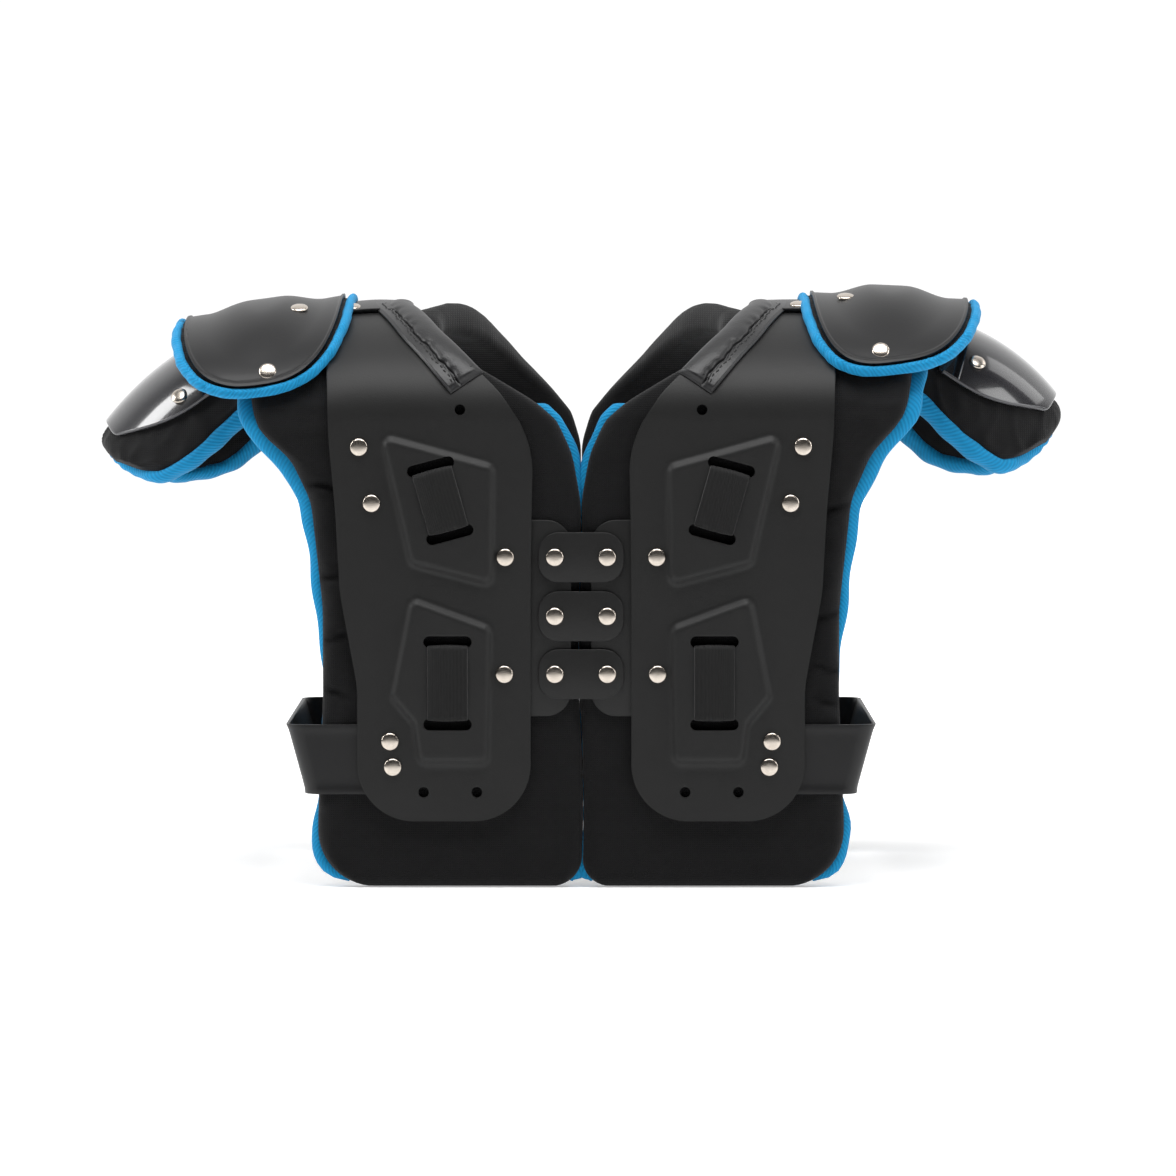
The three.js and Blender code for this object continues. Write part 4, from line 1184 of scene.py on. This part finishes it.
def rivet_places():
    rows = []

    def add(point, up, mirror):
        point, up = np.array(point, float), np.array(up, float)
        flip = np.array([mirror, 1.0, 1.0])
        rows.append((settled(point, mirror) * flip, up * flip / np.linalg.norm(up), (0.0, 0.0, 1.0)))

    for side, mirror in SIDES.items():
        flat = PLATE_RIVETS + [(LINK_RIVET_X, z) for z in LINK_HEIGHTS]
        for x, z in flat:
            add((x, MIDDLE_Y - HALF_DEPTH - HEAD_SEAT, z), (0, -1, 0), mirror)
        own = SHOULDER_RIVETS[side]
        for x, route in own["flap"]:
            add(*outward_on(arch, x, route, flap_height(side, x, route)), mirror)
        for x, route in own["band"]:
            add(*outward_on(arch, x, route, LAYER_THREE + SHEET + 0.4), mirror)
        for u, v in own["cup"]:
            add(*outward_on(cup, u, v, CAP_GAP + SHEET + 1.5), mirror)
    return rows


rivet_nodes = [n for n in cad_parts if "rivet" in n]
rivet_part = lathe("rivet_part", HEAD_PROFILE, 32)
scatter("nickel_rivets", rivet_part, rivet_places(), nickel, "nickel_rivet", *rivet_nodes)

# %% [markdown]
# Stitches are short capsules of thread, laid end to end with a small gap along each seam: the neck
# bindings' seam and the bar at their lower end.

# %% Stitches
STITCH_LENGTH = 2.6
STITCH_GAP = 1.5
STITCH_RADIUS = 0.55


def stitch_part():
    steps = np.linspace(0, np.pi / 2, 4)
    half = STITCH_LENGTH / 2
    profile = [(STITCH_RADIUS * math.sin(t), -half - STITCH_RADIUS * (math.cos(t) - 1)) for t in steps]
    profile += [(STITCH_RADIUS * math.cos(t), half - STITCH_RADIUS * (1 - math.sin(t))) for t in steps]
    profile = [(0 if r < 1e-6 else r, h) for r, h in profile]
    part = lathe("stitch_part", profile, 8)
    part.data.transform(Matrix.Rotation(math.pi / 2, 4, "Y"))
    return part


def seam_places(points, ups, mirror):
    """Evenly spaced stitch rows along a seam line."""
    points, ups = settled(points, mirror) * [mirror, 1, 1], ups * [mirror, 1, 1]
    length = np.concatenate([[0], np.cumsum(np.linalg.norm(np.diff(points, axis=0), axis=1))])
    at = np.arange(STITCH_LENGTH, length[-1] - STITCH_LENGTH, STITCH_LENGTH + STITCH_GAP)
    place = np.stack([np.interp(at, length, points[:, k]) for k in range(3)], -1)
    up = np.stack([np.interp(at, length, ups[:, k]) for k in range(3)], -1)
    aim = np.stack([np.interp(at, length, np.gradient(points[:, k], length)) for k in range(3)], -1)
    up /= np.linalg.norm(up, axis=1, keepdims=True)
    aim /= np.linalg.norm(aim, axis=1, keepdims=True)
    return [(p, u, a) for p, u, a in zip(place, up, aim)]


def stitch_rows():
    rows = []
    for mirror in SIDES.values():
        route = np.linspace(BINDING_ROUTE[0] + 0.01, BINDING_ROUTE[1] - 0.01, 240)
        seam = SEAM_SHARE + seam_wave(route)
        line = binding_place(route, seam + 0.13, LAYER_THREE + 2.8)
        rows += seam_places(line, binding_place(route, seam + 0.13, LAYER_THREE + 3.8) - line, mirror)
        share = np.linspace(0.1, 0.95, 30)
        bar = np.full(30, BINDING_ROUTE[0] + 0.02)
        line = binding_place(bar, share, LAYER_THREE + 3.6 - 1.6 * smooth_step(share, 0.45, 0.7))
        rows += seam_places(line, np.tile([0.0, -1.0, 0.3], (30, 1)), mirror)
    return rows


scatter("black_stitches", stitch_part(), stitch_rows(), thread, "binding_leather")

# %% [markdown]
# The photograph is a white studio sweep with broad soft light from above and a little from both sides.
# The floor glows more the further back it is, so that it is as white as the background at the horizon.
# The camera stands in front, a touch above the links, with a long lens.

# %% Floor, world, lights and camera
FOCAL_MM = 200.0
SENSOR_MM = 36.0
FRAME_WIDTH = 0.7056  # metres across the picture at the linked side
AIM = Vector((0.0042, (MIDDLE_Y - HALF_DEPTH) * MM, 0.180))
CAMERA_ELEVATION = math.radians(3.0)
CUP_MIDDLE = 0.27
FLOOR_GLOW = (0.2, 1.8, 0.33, 1.1)  # between two places in metres, and the strength at each
WORLD_GLOW = (0.0, 0.6, 0.03, 1.05)  # the same between two directions
LIGHTS = {  # place, aim and size in metres, then watts
    "overhead_softbox": ((0.0, -0.45, 1.45), (0, 0, 0.25), (1.5, 0.7), 21.0),
    "left_softbox": ((-1.35, -0.12, 0.85), (-CUP_MIDDLE, -0.03, 0.31), (0.3, 0.9), 10.5),
    "right_softbox": ((1.4, -0.4, 0.7), (0, -0.1, 0.2), (0.4, 1.0), 6.0),
    "back_right_strip": ((1.2, 0.3, 1.1), (CUP_MIDDLE, 0, 0.31), (0.4, 0.5), 1.4),
}


def glow_backwards(tree, place, glow, socket):
    """Makes a strength climb towards the back, along Y."""
    split = add_node(tree, "ShaderNodeSeparateXYZ", links={"Vector": place})
    add_node(tree, "ShaderNodeMapRange", settings={"interpolation_type": "SMOOTHSTEP"},
             inputs=zip(("From Min", "From Max", "To Min", "To Max"), glow),
             links={"Value": split.outputs["Y"]}, feeds={"Result": socket})


def make_floor():
    size, height = 6.0, -0.0005
    mesh = bpy.data.meshes.new("studio_floor")
    corners = [(-size, -size, height), (size, -size, height), (size, size, height), (-size, size, height)]
    mesh.from_pydata(corners, [], [(0, 1, 2, 3)])
    floor = add_object("studio_floor", mesh)
    values = {"Base Color": linear("#f4f4f4"), "Roughness": 0.9, "Specular IOR Level": 0.1,
              "Emission Color": linear("#ffffff")}
    material, tree, shader, where = new_material("pale_studio_paper", values)
    glow_backwards(tree, where, FLOOR_GLOW, shader.inputs["Emission Strength"])
    mesh.materials.append(material)


def make_world():
    world = bpy.data.worlds.new("studio")
    world.use_nodes = True
    tree = world.node_tree
    background = tree.nodes["Background"]
    way = add_node(tree, "ShaderNodeTexCoord").outputs["Generated"]
    glow_backwards(tree, way, WORLD_GLOW, background.inputs["Strength"])
    background.inputs["Color"].default_value = linear("#ffffff")
    bpy.context.scene.world = world


def make_light(name, place, aim, size, watts):
    data = bpy.data.lights.new(name, "AREA")
    data.shape = "RECTANGLE"
    data.size, data.size_y = size
    data.energy = watts
    light = add_object(name, data)
    light.location = place
    light.rotation_euler = (Vector(aim) - Vector(place)).to_track_quat("-Z", "Y").to_euler()


def make_camera():
    data = bpy.data.cameras.new("camera")
    data.lens, data.sensor_width = FOCAL_MM, SENSOR_MM
    camera = add_object("camera", data)
    distance = FRAME_WIDTH * FOCAL_MM / SENSOR_MM
    back = Vector((0, -math.cos(CAMERA_ELEVATION), math.sin(CAMERA_ELEVATION)))
    camera.location = AIM + back * distance
    camera.rotation_euler = (-back).to_track_quat("-Z", "Y").to_euler()
    bpy.context.scene.camera = camera


make_floor()
make_world()
for name, values in LIGHTS.items():
    make_light(name, *values)
make_camera()
bpy.context.scene.view_settings.view_transform = "Standard"
